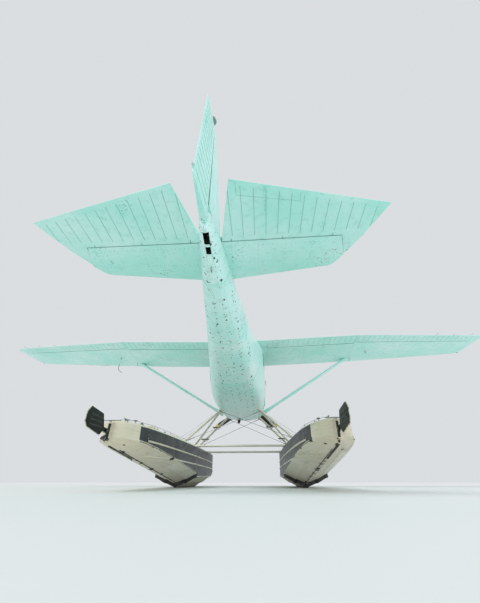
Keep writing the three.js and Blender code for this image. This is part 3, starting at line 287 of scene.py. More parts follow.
def lamp_glass(name, base):
    """Moulded lamp lens: tinted, clear and glossy, ribbed on the inside."""
    material, tree, place = new_material(name)
    ribs = add_node(tree, "TexWave", {"Scale": 40.0, "Distortion": 0.2}, {"Vector": place}).outputs["Fac"]
    bump = add_node(tree, "Bump", {"Strength": 0.15, "Distance": 0.002}, {"Height": ribs})
    return shaded(material, {"Base Color": base, "Roughness": 0.08, "Transmission Weight": 0.45}, {"Normal": bump})


def gritty_strip():
    """Anti-slip strip: coarse mineral grit bonded in dark paint, paler where feet have worn it."""
    material, tree, place = new_material("anti-slip grit in dark paint")
    grit = add_node(tree, "TexVoronoi", {"Scale": 260.0}, {"Vector": place})
    tread = add_node(tree, "TexNoise", {"Scale": 4.0, "Detail": 4.0}, {"Vector": place})
    worn = add_node(tree, "MapRange", {"From Min": 0.42, "From Max": 0.7, "To Max": 0.7}, {"Value": tread})
    colour = add_node(tree, "Mix", {"data_type": "RGBA", 6: "#3B3D3B", 7: "#8B897D"}, {0: worn})
    bump = add_node(tree, "Bump", {"Strength": 0.6, "Distance": 0.0015}, {"Height": grit})
    return shaded(material, {"Roughness": 0.92}, {"Base Color": colour, "Normal": bump})


def moulded(name, base, roughness):
    """Moulded plastic or rubber, with a fine grain that catches a dull light, and dust."""
    material, tree, place = new_material(name)
    grain = add_node(tree, "TexNoise", {"Scale": 120.0, "Detail": 2.0}, {"Vector": place})
    dust = add_node(tree, "TexNoise", {"Scale": 6.0, "Detail": 4.0}, {"Vector": place})
    amount = add_node(tree, "MapRange", {"From Min": 0.45, "From Max": 0.8, "To Max": 0.4}, {"Value": dust})
    colour = add_node(tree, "Mix", {"data_type": "RGBA", 6: base, 7: "#77756C"}, {0: amount})
    bump = add_node(tree, "Bump", {"Strength": 0.2, "Distance": 0.001}, {"Height": grain})
    return shaded(material, {"Roughness": roughness}, {"Base Color": colour, "Normal": bump})


def worn_leather():
    """Split cowhide, dyed and embossed: pebbled grain drawn at 3 mm so that it shows, polished paler where people
    slide in, with fine creases that catch the light."""
    material, tree, place = new_material("embossed cowhide leather")
    grain = add_node(tree, "TexVoronoi", {"Scale": 330.0}, {"Vector": place})
    crease = add_node(tree, "TexNoise", {"Scale": 28.0, "Detail": 6.0, "Roughness": 0.7}, {"Vector": place})
    rubbed = add_node(tree, "TexNoise", {"Scale": 5.0, "Detail": 3.0}, {"Vector": place})
    amount = add_node(tree, "MapRange", {"From Min": 0.42, "From Max": 0.7, "To Max": 0.8}, {"Value": rubbed})
    colour = add_node(tree, "Mix", {"data_type": "RGBA", 6: "#76583C", 7: "#A98C69"}, {0: amount})
    rough = add_node(tree, "MapRange", {"To Min": 0.62, "To Max": 0.38}, {"Value": rubbed})
    pebbles = add_node(tree, "Bump", {"Strength": 0.35, "Distance": 0.001}, {"Height": grain})
    folds = add_node(tree, "Bump", {"Strength": 0.3, "Distance": 0.002}, {"Height": crease, "Normal": pebbles})
    return shaded(material, {}, {"Base Color": colour, "Roughness": rough, "Normal": folds})


def woven(name, base, thread, pitch, sheen):
    """Woven or tufted textile: crossed ribs a thread apart, each a little lighter or darker, under a soft fuzz."""
    material, tree, place = new_material(name)
    wave = {"Scale": 0.314 / pitch, "Distortion": 0.6}
    across, along = (
        add_node(tree, "TexWave", {"bands_direction": way, **wave}, {"Vector": place}).outputs["Fac"] for way in "XY"
    )
    weave = add_node(tree, "Math", {"operation": "MULTIPLY"}, {0: across, 1: along})
    wear = add_node(tree, "TexNoise", {"Scale": 8.0, "Detail": 5.0}, {"Vector": place})
    both = add_node(tree, "Math", {"operation": "MULTIPLY"}, {0: weave, 1: wear})
    colour = add_node(tree, "Mix", {"data_type": "RGBA", 6: base, 7: thread}, {0: both})
    bump = add_node(tree, "Bump", {"Strength": 0.5, "Distance": 0.001}, {"Height": weave})
    return shaded(material, {"Roughness": 0.92, "Sheen Weight": sheen}, {"Base Color": colour, "Normal": bump})


finishes = {}


def linked(piece):
    """Puts an object in the scene."""
    bpy.context.scene.collection.objects.link(piece)
    return piece


def made_of(piece, finish, body):
    """Gives a piece its one finish, its slot and its body, or no body where it runs between two."""
    piece.data.materials.clear()
    piece.data.materials.append(finishes[finish])
    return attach(piece, body) if body else piece


def finished(name, bm, finish, body="airframe", smooth=40.0):
    """Makes a piece of a bmesh: smooth but for edges sharper than the angle, in its finish, riding on its body."""
    mesh = bpy.data.meshes.new(name)
    bm.to_mesh(mesh)
    bm.free()
    mesh.shade_smooth()
    mesh.set_sharp_from_angle(angle=math.radians(smooth))
    return made_of(linked(bpy.data.objects.new(name, mesh)), finish, body)


def welded(node):
    """Closed copy of a CAD node's mesh."""
    bm = bmesh.new()
    bm.from_mesh(frame["nodes"][node].data)
    bmesh.ops.remove_doubles(bm, verts=bm.verts, dist=WELD)
    return bm


def dress(node, finish, smooth=32.0):
    """Smooth skin that stands for a CAD node."""
    piece = finished(node + "_skin", welded(node), finish, frame["nodes"][node]["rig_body"], smooth)
    piece.modifiers.new("even shading", "WEIGHTED_NORMAL").keep_sharp = True
    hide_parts(node)
    return piece


def paint(piece, finish, wanted):
    """Gives another finish to the faces whose middle and normal pass a test."""
    piece.data.materials.append(finishes[finish])
    number = len(piece.data.materials) - 1
    for face in piece.data.polygons:
        if wanted(face.center, face.normal):
            face.material_index = number


def settled(piece):
    """Puts what a piece's modifiers or curve make into a plain mesh of its own."""
    mesh = bpy.data.meshes.new_from_object(piece.evaluated_get(bpy.context.evaluated_depsgraph_get()))
    name = piece.name
    bpy.data.objects.remove(piece)
    mesh.name = name
    return linked(bpy.data.objects.new(name, mesh))


def bars(name, runs, radius, finish, body="airframe", closed=False, roundness=2):
    """Round bars or wires along runs of points, joined in one piece."""
    line = bpy.data.curves.new(name, "CURVE")
    line.dimensions = "3D"
    line.bevel_depth = radius
    line.bevel_resolution = roundness
    line.use_fill_caps = not closed
    for run in runs:
        spline = line.splines.new("POLY")
        spline.points.add(len(run) - 1)
        spline.use_cyclic_u = closed
        for point, place in zip(spline.points, run):
            point.co = (*place, 1.0)
    piece = settled(linked(bpy.data.objects.new(name, line)))
    piece.data.shade_smooth()
    piece.data.set_sharp_from_angle(angle=math.radians(50))
    return made_of(piece, finish, body)


def surface_of(*nodes):
    """Search tree of the faces of some CAD nodes or pieces."""
    places, faces = [], []
    for node in nodes:
        mesh = frame["nodes"][node].data if isinstance(node, str) else node.data
        first = len(places)
        places += [vertex.co.copy() for vertex in mesh.vertices]
        faces += [[first + i for i in face.vertices] for face in mesh.polygons]
    return BVHTree.FromPolygons(places, faces)


def touch(tree, start, toward, length):
    """Place and outward normal where a ray meets a surface, or None."""
    place, normal, _, _ = tree.ray_cast(start, toward, length)
    if place is None:
        return None
    return place, -normal if normal.dot(toward) > 0 else normal


def section_way(angle):
    """Direction at an angle in a plane across the aircraft, from +X towards +Z."""
    return Vector((math.cos(angle), 0.0, math.sin(angle)))


def fan(centre, radius, count=720):
    """Rays from a circle in a plane across the aircraft towards its centre."""
    ways = [section_way(math.tau * i / count) for i in range(count)]
    return [(Vector(centre) + way * radius, -way, radius * 0.98) for way in ways]


def comb(start, end, toward, length, step=0.006):
    """Parallel rays that start along a line."""
    start, end = Vector(start), Vector(end)
    count = max(2, round((end - start).length / step))
    return [(start.lerp(end, i / count), Vector(toward), length) for i in range(count + 1)]


def spaced(tree, rays, pitch=RIVET_PITCH, lift=0.0):
    """Places with their normals, a pitch apart, along the line where neighbouring rays meet a surface."""
    spots, before, run = [], None, 0.0
    for hit in (touch(tree, *ray) for ray in rays):
        if hit is None:
            before = None
            continue
        place, normal = hit
        step = pitch if before is None else (place - before).length
        run = pitch if step > 2 * pitch else run + step
        if run >= pitch:
            spots.append((place + normal * lift, normal))
            run = 0.0
        before = place
    return spots


def hits(tree, rays, lift=0.0):
    """Places where rays meet a surface, lifted off it."""
    found = [touch(tree, *ray) for ray in rays]
    return [hit[0] + hit[1] * lift for hit in found if hit]


def turned_to(place, toward, axis="Z", up="Y"):
    """Matrix that stands an axis along a direction at a place."""
    return Matrix.Translation(place) @ Vector(toward).to_track_quat(axis, up).to_matrix().to_4x4()


def spun(degrees, axis):
    """Matrix of a turn round an axis."""
    return Matrix.Rotation(math.radians(degrees), 4, axis)


def put(bm, part, place=None):
    """Adds a small shape to a piece, carried to a place or by a matrix, and frees it."""
    mesh = bpy.data.meshes.new("part")
    part.to_mesh(mesh)
    part.free()
    if place is not None:
        mesh.transform(place if isinstance(place, Matrix) else Matrix.Translation(place))
    bm.from_mesh(mesh)
    bpy.data.meshes.remove(mesh)


def joined(*parts):
    """One shape of several, each given with its place or matrix."""
    bm = bmesh.new()
    for part, place in parts:
        put(bm, part, place)
    return bm


def rounded(bm, radius):
    """Rounds every edge of a small shape where a radius is given."""
    if radius:
        bmesh.ops.bevel(bm, geom=bm.edges[:], offset=radius, segments=2, profile=0.5, affect="EDGES", material=-1)
    return bm


def box(size, rounding=0.0):
    """Box round the origin, with rounded edges."""
    bm = bmesh.new()
    bmesh.ops.create_cube(bm, size=1.0)
    bmesh.ops.scale(bm, vec=size, verts=bm.verts)
    return rounded(bm, rounding)


def turned(profile, steps=20):
    """Shape turned about Z from (radius, height) pairs. They start on the axis, and their last height is closed."""
    bm = bmesh.new()
    corners = [bm.verts.new((radius, 0.0, height)) for radius, height in (*profile, (0, profile[-1][1]))]
    edges = [bm.edges.new(pair) for pair in zip(corners, corners[1:])]
    bmesh.ops.spin(
        bm, geom=[*corners, *edges], cent=(0, 0, 0), axis=(0, 0, 1), angle=math.tau, steps=steps, use_merge=True
    )
    bmesh.ops.remove_doubles(bm, verts=bm.verts, dist=1e-6)
    bmesh.ops.recalc_face_normals(bm, faces=bm.faces)
    return bm


def button(top, foot, height, steps=16):
    """Flat round head with a sloping side."""
    return turned(((0, height), (top, height), (foot, 0.0)), steps)


def plate(outline, thickness, rounding=0.0):
    """Plate with an outline in X and Y, half of its thickness on each side."""
    bm = bmesh.new()
    face = bm.faces.new([bm.verts.new((x, y, -thickness / 2)) for x, y in outline])
    grown = bmesh.ops.extrude_face_region(bm, geom=[face])["geom"]
    raised = [part for part in grown if isinstance(part, bmesh.types.BMVert)]
    bmesh.ops.translate(bm, vec=(0, 0, thickness), verts=raised)
    bmesh.ops.recalc_face_normals(bm, faces=bm.faces)
    return rounded(bm, rounding)


def tile(width, length, corner, thickness, rounding=0.0):
    """Rectangular plate with round corners."""
    outline = []
    for turn, (right, far) in enumerate(((1, 1), (-1, 1), (-1, -1), (1, -1))):
        for i in range(5):
            angle = math.pi / 2 * (turn + i / 4)
            outline.append((
                right * (width / 2 - corner) + corner * math.cos(angle),
                far * (length / 2 - corner) + corner * math.sin(angle),
            ))
    return plate(outline, thickness, rounding)


def rod(start, end, radius, far_radius=None, sides=12):
    """Round bar between two points."""
    start, end = Vector(start), Vector(end)
    bm = bmesh.new()
    bmesh.ops.create_cone(
        bm, cap_ends=True, segments=sides, radius1=radius, radius2=radius if far_radius is None else far_radius,
        depth=(end - start).length, matrix=turned_to((start + end) / 2, end - start),
    )
    return bm


def ring(centre, normal, radius, steps=20):
    """Closed run of points round a circle."""
    matrix = turned_to(centre, normal)
    angles = [math.tau * i / steps for i in range(steps)]
    return [matrix @ Vector((radius * math.cos(angle), radius * math.sin(angle), 0.0)) for angle in angles]


def rims(node, outside):
    """Closed runs of points along the sharp edges where a shell's outer faces end. The edges are taken in the mesh's
    order, so that every run of the script gives the same ones."""
    bm = welded(node)
    edges = {}
    for edge in bm.edges:
        if len(edge.link_faces) == 2 and edge.calc_face_angle() > RIM_BEND:
            a, b = (outside(face.calc_center_median(), face.normal) for face in edge.link_faces)
            if a != b:
                edges[edge] = True
    runs = []
    while edges:
        run = list(edges.popitem()[0].verts)
        for _ in range(2):  # on from its last corner, then back from its first
            while onward := next((edge for edge in run[-1].link_edges if edge in edges), None):
                del edges[onward]
                run.append(onward.other_vert(run[-1]))
            run.reverse()
        runs.append([vertex.co.copy() for vertex in (run[1:] if run[0] is run[-1] else run)])
    return [run for run in runs if len(run) > 3]


def patch(tree, centre, wide, long, toward, thickness, across=4, along=4):
    """Thin panel that hugs a surface. Its sides are two vectors, and it is dropped on the surface from a centre."""
    bm = bmesh.new()
    bmesh.ops.create_grid(bm, x_segments=across, y_segments=along, size=0.5)
    for vertex in bm.verts:
        start = Vector(centre) + wide * vertex.co.x + long * vertex.co.y
        hit = touch(tree, start, toward, 1.5)
        if hit is None:
            raise RuntimeError(f"a panel hangs over the edge at {start}")
        vertex.co = hit[0] + hit[1] * 0.0004
    bm.normal_update()
    if sum((face.normal for face in bm.faces), Vector()).dot(toward) > 0:
        bmesh.ops.reverse_faces(bm, faces=bm.faces[:])
    bmesh.ops.solidify(bm, geom=bm.faces[:], thickness=-thickness)
    bmesh.ops.recalc_face_normals(bm, faces=bm.faces)
    return bm


def strut_matrix(start, end, share):
    """Matrix at a share of a strut's length, +Z along it and +X along its chord."""
    start, end = Vector(start), Vector(end)
    axis = (end - start).normalized()
    chord = (Y - axis * Y.dot(axis)).normalized()
    turn = Matrix((chord, axis.cross(chord), axis)).transposed().to_4x4()
    return Matrix.Translation(start.lerp(end, share)) @ turn


def collar(chord, thickness, height, proud=0.006):
    """Band round a streamlined strut."""
    half = height / 2
    bm = turned(((0, -half), (0.96, -half), (1, -height / 3), (1, height / 3), (0.96, half)), 28)
    bmesh.ops.scale(bm, vec=(chord / 2 + proud, thickness / 2 + proud, 1), verts=bm.verts)
    return bm


def rivet_heads_group(radius, height):
    """Node group that stands a low round head on every point, square to the skin."""
    tree = bpy.data.node_groups.new(f"heads {radius}", "GeometryNodeTree")
    for way in ("INPUT", "OUTPUT"):
        tree.interface.new_socket("Geometry", in_out=way, socket_type="NodeSocketGeometry")
    given = add_node(tree, "NodeGroupInput")
    cone = {"Vertices": 6, "Radius Bottom": radius, "Radius Top": 0.55 * radius, "Depth": height}
    head = add_node(tree, "GeometryNodeMeshCone", cone)
    lean = add_node(tree, "GeometryNodeInputNamedAttribute", {"data_type": "FLOAT_VECTOR", "Name": "lean"})
    stood = add_node(tree, "FunctionNodeAlignRotationToVector", {"axis": "Z"}, {"Vector": lean.outputs["Attribute"]})
    heads = add_node(
        tree, "GeometryNodeInstanceOnPoints", links={"Points": given, "Instance": head, "Rotation": stood}
    )
    real = add_node(tree, "GeometryNodeRealizeInstances", links={"Geometry": heads})
    add_node(tree, "NodeGroupOutput", links={"Geometry": real})
    return tree


def rivets(name, spots, finish, body="airframe", radius=RIVET_RADIUS, height=RIVET_HEIGHT):
    """Joined rivet or screw heads on spots of a skin."""
    tree = bpy.data.node_groups.get(f"heads {radius}") or rivet_heads_group(radius, height)
    mesh = bpy.data.meshes.new(name)
    mesh.from_pydata([place for place, _ in spots], [], [])
    lean = mesh.attributes.new("lean", "FLOAT_VECTOR", "POINT")
    lean.data.foreach_set("vector", [value for _, normal in spots for value in normal])
    points = linked(bpy.data.objects.new(name, mesh))
    points.modifiers.new("heads", "NODES").node_group = tree
    return made_of(settled(points), finish, body)


def cut(bm, place, beyond, clear=True):
    """Cuts a mesh along a plane, and clears what lies beyond it unless told not to."""
    whole = [*bm.verts, *bm.edges, *bm.faces]
    bmesh.ops.bisect_plane(bm, geom=whole, dist=1e-6, clear_outer=clear, plane_co=place, plane_no=beyond)


def doublers(name, node, axis, stations, outside):
    """Doubler plates round a skin at some stations. They lie on the faces that pass the outside test."""
    whole = bmesh.new()
    for at in stations:
        bm = welded(node)
        for side in (-1, 1):
            cut(bm, axis * (at + side * LAP_WIDTH / 2), axis * side)
        inner = [face for face in bm.faces if not outside(face.calc_center_median(), face.normal)]
        bmesh.ops.delete(bm, geom=inner, context="FACES")
        bm.normal_update()
        for vertex in bm.verts:
            vertex.co += vertex.normal * LAP_PROUD
        bmesh.ops.solidify(bm, geom=bm.faces[:], thickness=LAP_PROUD * 1.5)
        put(whole, bm)
    return finished(name, whole, "mint", smooth=25.0)


def densified(bm, longest):
    """Halves edges until none is longer than this."""
    long_edges = [edge for edge in bm.edges if edge.calc_length() > longest]
    while long_edges:
        bmesh.ops.subdivide_edges(bm, edges=long_edges, cuts=1)
        bmesh.ops.triangulate(bm, faces=[face for face in bm.faces if len(face.verts) > 3])
        long_edges = [edge for edge in bm.edges if edge.calc_length() > longest]


def edge_wear(bm, bend, reach, wanted):
    """Finds sharp edges and returns, for each vertex in order after cutting it finer, how near such an edge is."""
    marks = []
    for edge in bm.edges:
        if len(edge.link_faces) == 2 and edge.calc_face_angle() > bend and wanted(edge):
            a, b = (vertex.co.copy() for vertex in edge.verts)
            count = max(1, round((b - a).length / 0.02))
            marks += [a.lerp(b, i / count) for i in range(count + 1)]
    tree = KDTree(len(marks))
    for i, mark in enumerate(marks):
        tree.insert(mark, i)
    tree.balance()
    densified(bm, reach)
    return [max(0.0, 1.0 - tree.find(vertex.co)[2] / reach) for vertex in bm.verts]


class FLOATPLANE_OT_finishes(bpy.types.Operator):
    """Make every paint, metal, plastic, leather and glass"""

    bl_idname = "floatplane.finishes"
    bl_label = "Finishes"

    def execute(self, context):
        c = context.scene.floatplane_colours
        finishes.update(
            mint=enamel_on_sheet("mint enamel on rolled aluminium", c.mint, c.mint_pale, c.mint_deep),
            # Paler mint enamel for the fuselage than for the wings and tail
            mint_body=enamel_on_sheet(
                "paler mint enamel on formed sheet", c.body, c.body_pale, c.mint_deep, flaked=True
            ),
            # Darker mint for bead ridges, beads and the trim tab's seams: painted shade along each bead and seam
            mint_line=stained_enamel("mint enamel darkened as painted shade", "#93CFBE", "#6FAE9C", 0.7, 6.0),
            ivory=float_enamel(c),
            propeller=plain_metal("forged aluminium alloy", "#C9CCCE", 0.3, (1.0, 1.0, 0.1)),
            blade_back=stained_enamel("matt black blade paint", "#1B1C1D", "#3C3A36", 0.6, 7.0, 0.75),
            blade_tip=stained_enamel("yellow tip paint", "#D9B23A", "#9C7F2C", 0.6, 9.0, 0.5),
            exhaust=plain_metal("heat-browned stainless steel", "#6B5240", 0.5),
            dark=plain_metal("weathered anodised aluminium", "#3A403C", 0.45),
            glass=clear_acrylic(),
            rubber=moulded("black neoprene rubber", "#17181A", 0.75),
            trim=moulded("moulded black ABS", "#232426", 0.55),
            leather=worn_leather(),
            carpet=woven("tufted wool carpet", "#3E4448", "#6A7276", 0.006, 0.4),
            webbing=woven("woven nylon webbing", "#26282B", "#5A5D60", 0.003, 0.15),
            print=stained_enamel("white dial print", "#E9E7DF", "#C9C6BA", 0.5, 40.0),
            lining=moulded("pale grey cabin lining", "#C6C3B9", 0.85),
            mint_heads=stained_enamel("stained mint enamel", c.mint, "#5E9C8A", 0.9, 30.0),
            ivory_heads=stained_enamel("stained ivory enamel", c.ivory, "#6F684E", 0.9, 30.0),
            # Near-black for the floats' inboard side walls: painted shade on walls turned away from the light, with
            # blotches of algae stain
            stained_wall=stained_enamel("painted shade and algae on float plating", "#34383A", "#121614", 0.9, 6.0, 0.42),
            # Dark grey plating for the skeg strips and the rudder blade ribs; on the floats' step faces the same grey
            # is painted shade
            step=stained_enamel("dark plating and painted step shade", "#4A4A46", "#1D1D1B", 0.9, 12.0, 0.6),
            gap=stained_enamel("shadowed gap", "#141817", "#0B0D0C", 0.9, 12.0, 0.85),
            steel=plain_metal("stainless steel", "#A9ACAB", 0.34),
            red_lens=lamp_glass("red lamp glass", "#C5201A"),
            green_lens=lamp_glass("green lamp glass", "#1F9A55"),
            clear_lens=lamp_glass("clear lamp glass", "#EEF2F0"),
            grit=gritty_strip(),
        )
        return {"FINISHED"}


HUB = Vector((0.0, -3.505, 1.95))
BLADES = (90, 210, 330)  # degrees round the hub
BLADE_ROOT, TIP_BAND = 0.22, 0.93
SIDE_SKINS = (
    ("mint", ("wing", "aileron", "flap", "wing_strut", "tailplane")),
    ("ivory", ("float_strut_front", "float_strut_aft")),
    ("dark", ("water_rudder_post", "water_rudder_blade")),
    ("glass", ("door_window", "side_window")),
)


def from_hub(place):
    """Distance from the propeller's axis."""
    return (place - HUB - Y * (place.y - HUB.y)).length


class FLOATPLANE_OT_skins(bpy.types.Operator):
    """Dress every solid of the frame but the floats in a smooth skin"""

    bl_idname = "floatplane.skins"
    bl_label = "Skins"

    def execute(self, context):
        for node in ("cowl", "cabin_lower", "cabin_top", "tailcone", "baggage_door", "door_left", "door_right"):
            skin = dress(node, "mint_body")
            if node != "cowl":
                paint(skin, "lining", inside_cabin)
            if node == "tailcone":
                paint(skin, "gap", in_wells)
        for node in ("fin", "elevator", "rudder"):
            dress(node, "mint", smooth=12.0)
        for side, _ in SIDES:
            for finish, parts in SIDE_SKINS:
                for part in parts:
                    dress(f"{part}_{side}", finish)
        dress("windscreen", "glass")
        dress("instrument_panel", "trim")
        paint(dress("engine", "dark"), "exhaust", lambda centre, normal: centre.z < 1.64)
        dress("spinner", "propeller")
        for node in ("spreader_front", "spreader_aft"):
            dress(node, "ivory")

        blades = welded("propeller")
        for degrees in BLADES:
            out = section_way(math.radians(degrees))
            for radius in (BLADE_ROOT, TIP_BAND):
                cut(blades, HUB + out * radius, out, clear=False)
        blades = finished("propeller_skin", blades, "propeller", "propeller", smooth=32.0)
        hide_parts("propeller")
        paint(blades, "blade_back", lambda centre, normal: normal.y > 0.25 and from_hub(centre) > BLADE_ROOT)
        paint(blades, "blade_tip", lambda centre, normal: from_hub(centre) > TIP_BAND)
        return {"FINISHED"}


# Middle of the fuselage in the side view, as (y, z)
SPINE = ((-3.42, 1.93), (-2.38, 1.80), (-1.30, 2.08), (-0.10, 2.02), (1.50, 1.995), (2.40, 2.045), (3.59, 2.128))
CABIN_FROM, CABIN_TO = -2.36, 2.95
WELLS = ((3.290, 3.375, 0.026), (3.400, 3.520, 0.030))  # y from, y to and half width of the tailcone's two wells


def spine(y):
    """Middle of the fuselage at a station."""
    for (y0, z0), (y1, z1) in zip(SPINE, SPINE[1:]):
        if y <= y1:
            return Vector((0.0, y, z0 + (z1 - z0) * (y - y0) / (y1 - y0)))
    return Vector((0.0, y, SPINE[-1][1]))


def outward(centre, normal):
    """True on the outer side of the fuselage's skin."""
    middle = spine(centre.y)
    return normal.dot(Vector((centre.x, 0.0, centre.z - middle.z))) > 0.0 or abs(normal.y) > 0.9


def inside_cabin(centre, normal):
    """True on the inner side of a cabin wall."""
    return CABIN_FROM < centre.y < CABIN_TO and not outward(centre, normal) and abs(normal.y) < 0.9


def in_wells(centre, normal):
    """True on the walls and roofs of the wells."""
    return any(y0 - 0.001 < centre.y < y1 + 0.001 and abs(centre.x) < half + 0.001 for y0, y1, half in WELLS)


FUSELAGE_NODES = ("cowl", "cabin_lower", "cabin_top", "tailcone")
FUSELAGE_RINGS = (-3.33, -2.42, -2.34, -0.14, -0.06, 0.56, 1.18, 1.80, 2.38, 2.88, 3.20, 3.56)
TAIL_LAPS = (0.56, 1.80, 2.88)
# Degrees round the section, of the rivet rows under the cabin and of those along the tailcone
CABIN_STRINGERS = (214, 244, 259, 281, 296, 326)
STRINGERS = (0, 28, 58, 90, 122, 152, 180, *CABIN_STRINGERS)


def stringer_rays(degrees, y0, y1):
    """Rays from outside to the spine along one side of the fuselage."""
    out = section_way(math.radians(degrees))
    count = round((y1 - y0) / 0.006)
    stations = [y0 + (y1 - y0) * i / count for i in range(count + 1)]
    return [(spine(y) + out * 1.2, -out, 1.18) for y in stations]


def beside(spots, axis):
    """The same spots on both sides of their line."""
    return [(place + axis * side * LAP_ROW, normal) for place, normal in spots for side in (-1, 1)]


class FLOATPLANE_OT_fuselage_rivets(bpy.types.Operator):
    """Put lap bands and rivet rows on the fuselage"""

    bl_idname = "floatplane.fuselage_rivets"
    bl_label = "Fuselage laps and rivets"

    def execute(self, context):
        tree = surface_of(*FUSELAGE_NODES)
        spots = []
        for y in FUSELAGE_RINGS:
            lap = y in TAIL_LAPS
            row = spaced(tree, fan(spine(y), 1.2), lift=LAP_PROUD * lap)
            spots += beside(row, Y) if lap else row
        for degrees in STRINGERS:
            spots += spaced(tree, stringer_rays(degrees, -0.05, 3.5))
        for degrees in CABIN_STRINGERS:
            spots += spaced(tree, stringer_rays(degrees, -2.3, -0.15))
        rivets("fuselage_rivets", spots, "mint_heads")
        doublers("tailcone_laps", "tailcone", Y, TAIL_LAPS, outward)
        return {"FINISHED"}


WING_RIBS = (0.62, 1.06, 1.50, 1.94, 2.38, 2.61, 3.08, 3.56, 4.04, 4.52, 4.98, 5.22)
WING_LAPS = (1.50, 2.61, 4.04)
WING_SPARS = (0.09, 0.28, 0.62)  # as shares of the chord
WING_ROOT_X, WING_ROOT_LEAD, WING_KINK_X, WING_TIP = 0.6, -1.83, 2.6, (5.25, -1.692)
WING_CHORD, WING_TIP_CHORD = 1.63, 1.095
WING_HEIGHTS, TAILPLANE_HEIGHTS = (2.3, 3.2), (2.0, 2.4)  # below and above each of them


def wing_y(x, share):
    """Station at a share of the wing's chord, at a distance from the middle."""
    t = max(0.0, (x - WING_KINK_X) / (WING_TIP[0] - WING_KINK_X))
    lead = WING_ROOT_LEAD + (WING_TIP[1] - WING_ROOT_LEAD) * t
    return lead + share * (WING_CHORD + (WING_TIP_CHORD - WING_CHORD) * t)


def both_faces(tree, start, end, heights, lift=0.0):
    """Spots along a line in plan, on the upper and the lower skin."""
    low, high = heights
    spots = []
    for z, toward in ((high, -Z), (low, Z)):
        spots += spaced(tree, comb((*start, z), (*end, z), toward, high - low), lift=lift)
    return spots


def off_the_edge(spots):
    """Leaves out spots on upright faces, such as a leading edge, and in the hollow ahead of a hinge."""
    return [(place, normal) for place, normal in spots if abs(normal.z) > 0.34 and normal.y < 0.3]


def over(node_box, place):
    """True above or below a node, seen in plan."""
    low, high = node_box
    return low[0] < place.x < high[0] and low[1] < place.y < high[1]


class FLOATPLANE_OT_wing_rivets(bpy.types.Operator):
    """Put lap bands and rivet rows on the wings"""

    bl_idname = "floatplane.wing_rivets"
    bl_label = "Wing laps and rivets"

    def execute(self, context):
        for side, sign in SIDES:
            tree = surface_of(f"wing_{side}")
            spots = []
            for x in WING_RIBS:
                lap = x in WING_LAPS
                ends = [(sign * x, wing_y(x, share)) for share in (0.05, 0.97)]
                row = both_faces(tree, *ends, WING_HEIGHTS, LAP_PROUD * lap)
                spots += beside(row, X) if lap else row
            for share in WING_SPARS:
                bends = [(sign * x, wing_y(x, share)) for x in (WING_ROOT_X, WING_KINK_X, WING_TIP[0])]
                for start, end in zip(bends, bends[1:]):
                    spots += both_faces(tree, start, end, WING_HEIGHTS)
            moving = [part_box(f"{part}_{side}") for part in ("aileron", "flap")]
            clear = [spot for spot in off_the_edge(spots) if not any(over(part, spot[0]) for part in moving)]
            rivets(f"wing_rivets_{side}", clear, "mint_heads")
            doublers(
                f"wing_laps_{side}", f"wing_{side}", X * sign, WING_LAPS,
                lambda centre, normal: abs(normal.z) > 0.05 or normal.y < 0.0,
            )
        return {"FINISHED"}


TAILPLANE_RIBS = (0.20, 0.48, 0.76, 1.04, 1.27)
TAILPLANE_SPARS = (2.92, 3.17)
FIN_RIBS = (2.42, 2.74, 3.06, 3.38, 3.60)
FIN_SPARS = (3.28, 3.55)


class FLOATPLANE_OT_tail_rivets(bpy.types.Operator):
    """Put rivet rows on the tailplane and fin"""

    bl_idname = "floatplane.tail_rivets"
    bl_label = "Tail rivets"

    def execute(self, context):
        for side, sign in SIDES:
            tree = surface_of(f"tailplane_{side}")
            rows = [((sign * x, 2.5), (sign * x, 3.2)) for x in TAILPLANE_RIBS]
            rows += [((sign * 0.15, y), (sign * 1.38, y)) for y in TAILPLANE_SPARS]
            spots = [spot for start, end in rows for spot in both_faces(tree, start, end, TAILPLANE_HEIGHTS)]
            rivets(f"tailplane_rivets_{side}", off_the_edge(spots), "mint_heads")
        tree = surface_of("fin")
        spots = []
        for sign in (-1, 1):
            rows = [((2.4, z), (3.58, z)) for z in FIN_RIBS] + [((y, 2.36), (y, 3.62)) for y in FIN_SPARS]
            for start, end in rows:
                spots += spaced(tree, comb((sign * 0.4, *start), (sign * 0.4, *end), (-sign, 0, 0), 0.39))
        flat = [(place, normal) for place, normal in spots if abs(normal.x) > 0.8]
        rivets("fin_rivets", flat, "mint_heads")
        return {"FINISHED"}


FLOAT_STATIONS = (-3.75, -3.3, -2.85, -2.4, -1.95, -1.5, -1.06, -0.9, -0.4, 0.1, 0.6, 1.1, 1.5, 1.8)
FLOAT_ROWS = (  # distance from the keel line, y from, y to, height, direction and length of the rays
    *((across, -3.4, 1.2, 0.9, -Z, 0.4) for across in (-0.36, -0.2, 0.2, 0.36)),
    *((across, -3.4, 1.8, -0.3, Z, 0.9) for across in (-0.045, 0.045)),
)
FLOAT_WEAR_REACH = 0.075
FLOAT_WEAR_BEND = math.radians(24)
STEP_Y = -1.0
WALL_TOP = 0.20  # how far below its highest point a float starts to show wear
# Stations between which the floats' inboard walls are painted near-black, as painted shade with algae blotches
WALL_SHADE_FROM, WALL_SHADE_TO = -3.96, 1.7


def float_middle(node):
    """Distance of a float's keel line from the aircraft's middle, with its sign."""
    low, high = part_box(node)
    return (low.x + high.x) / 2


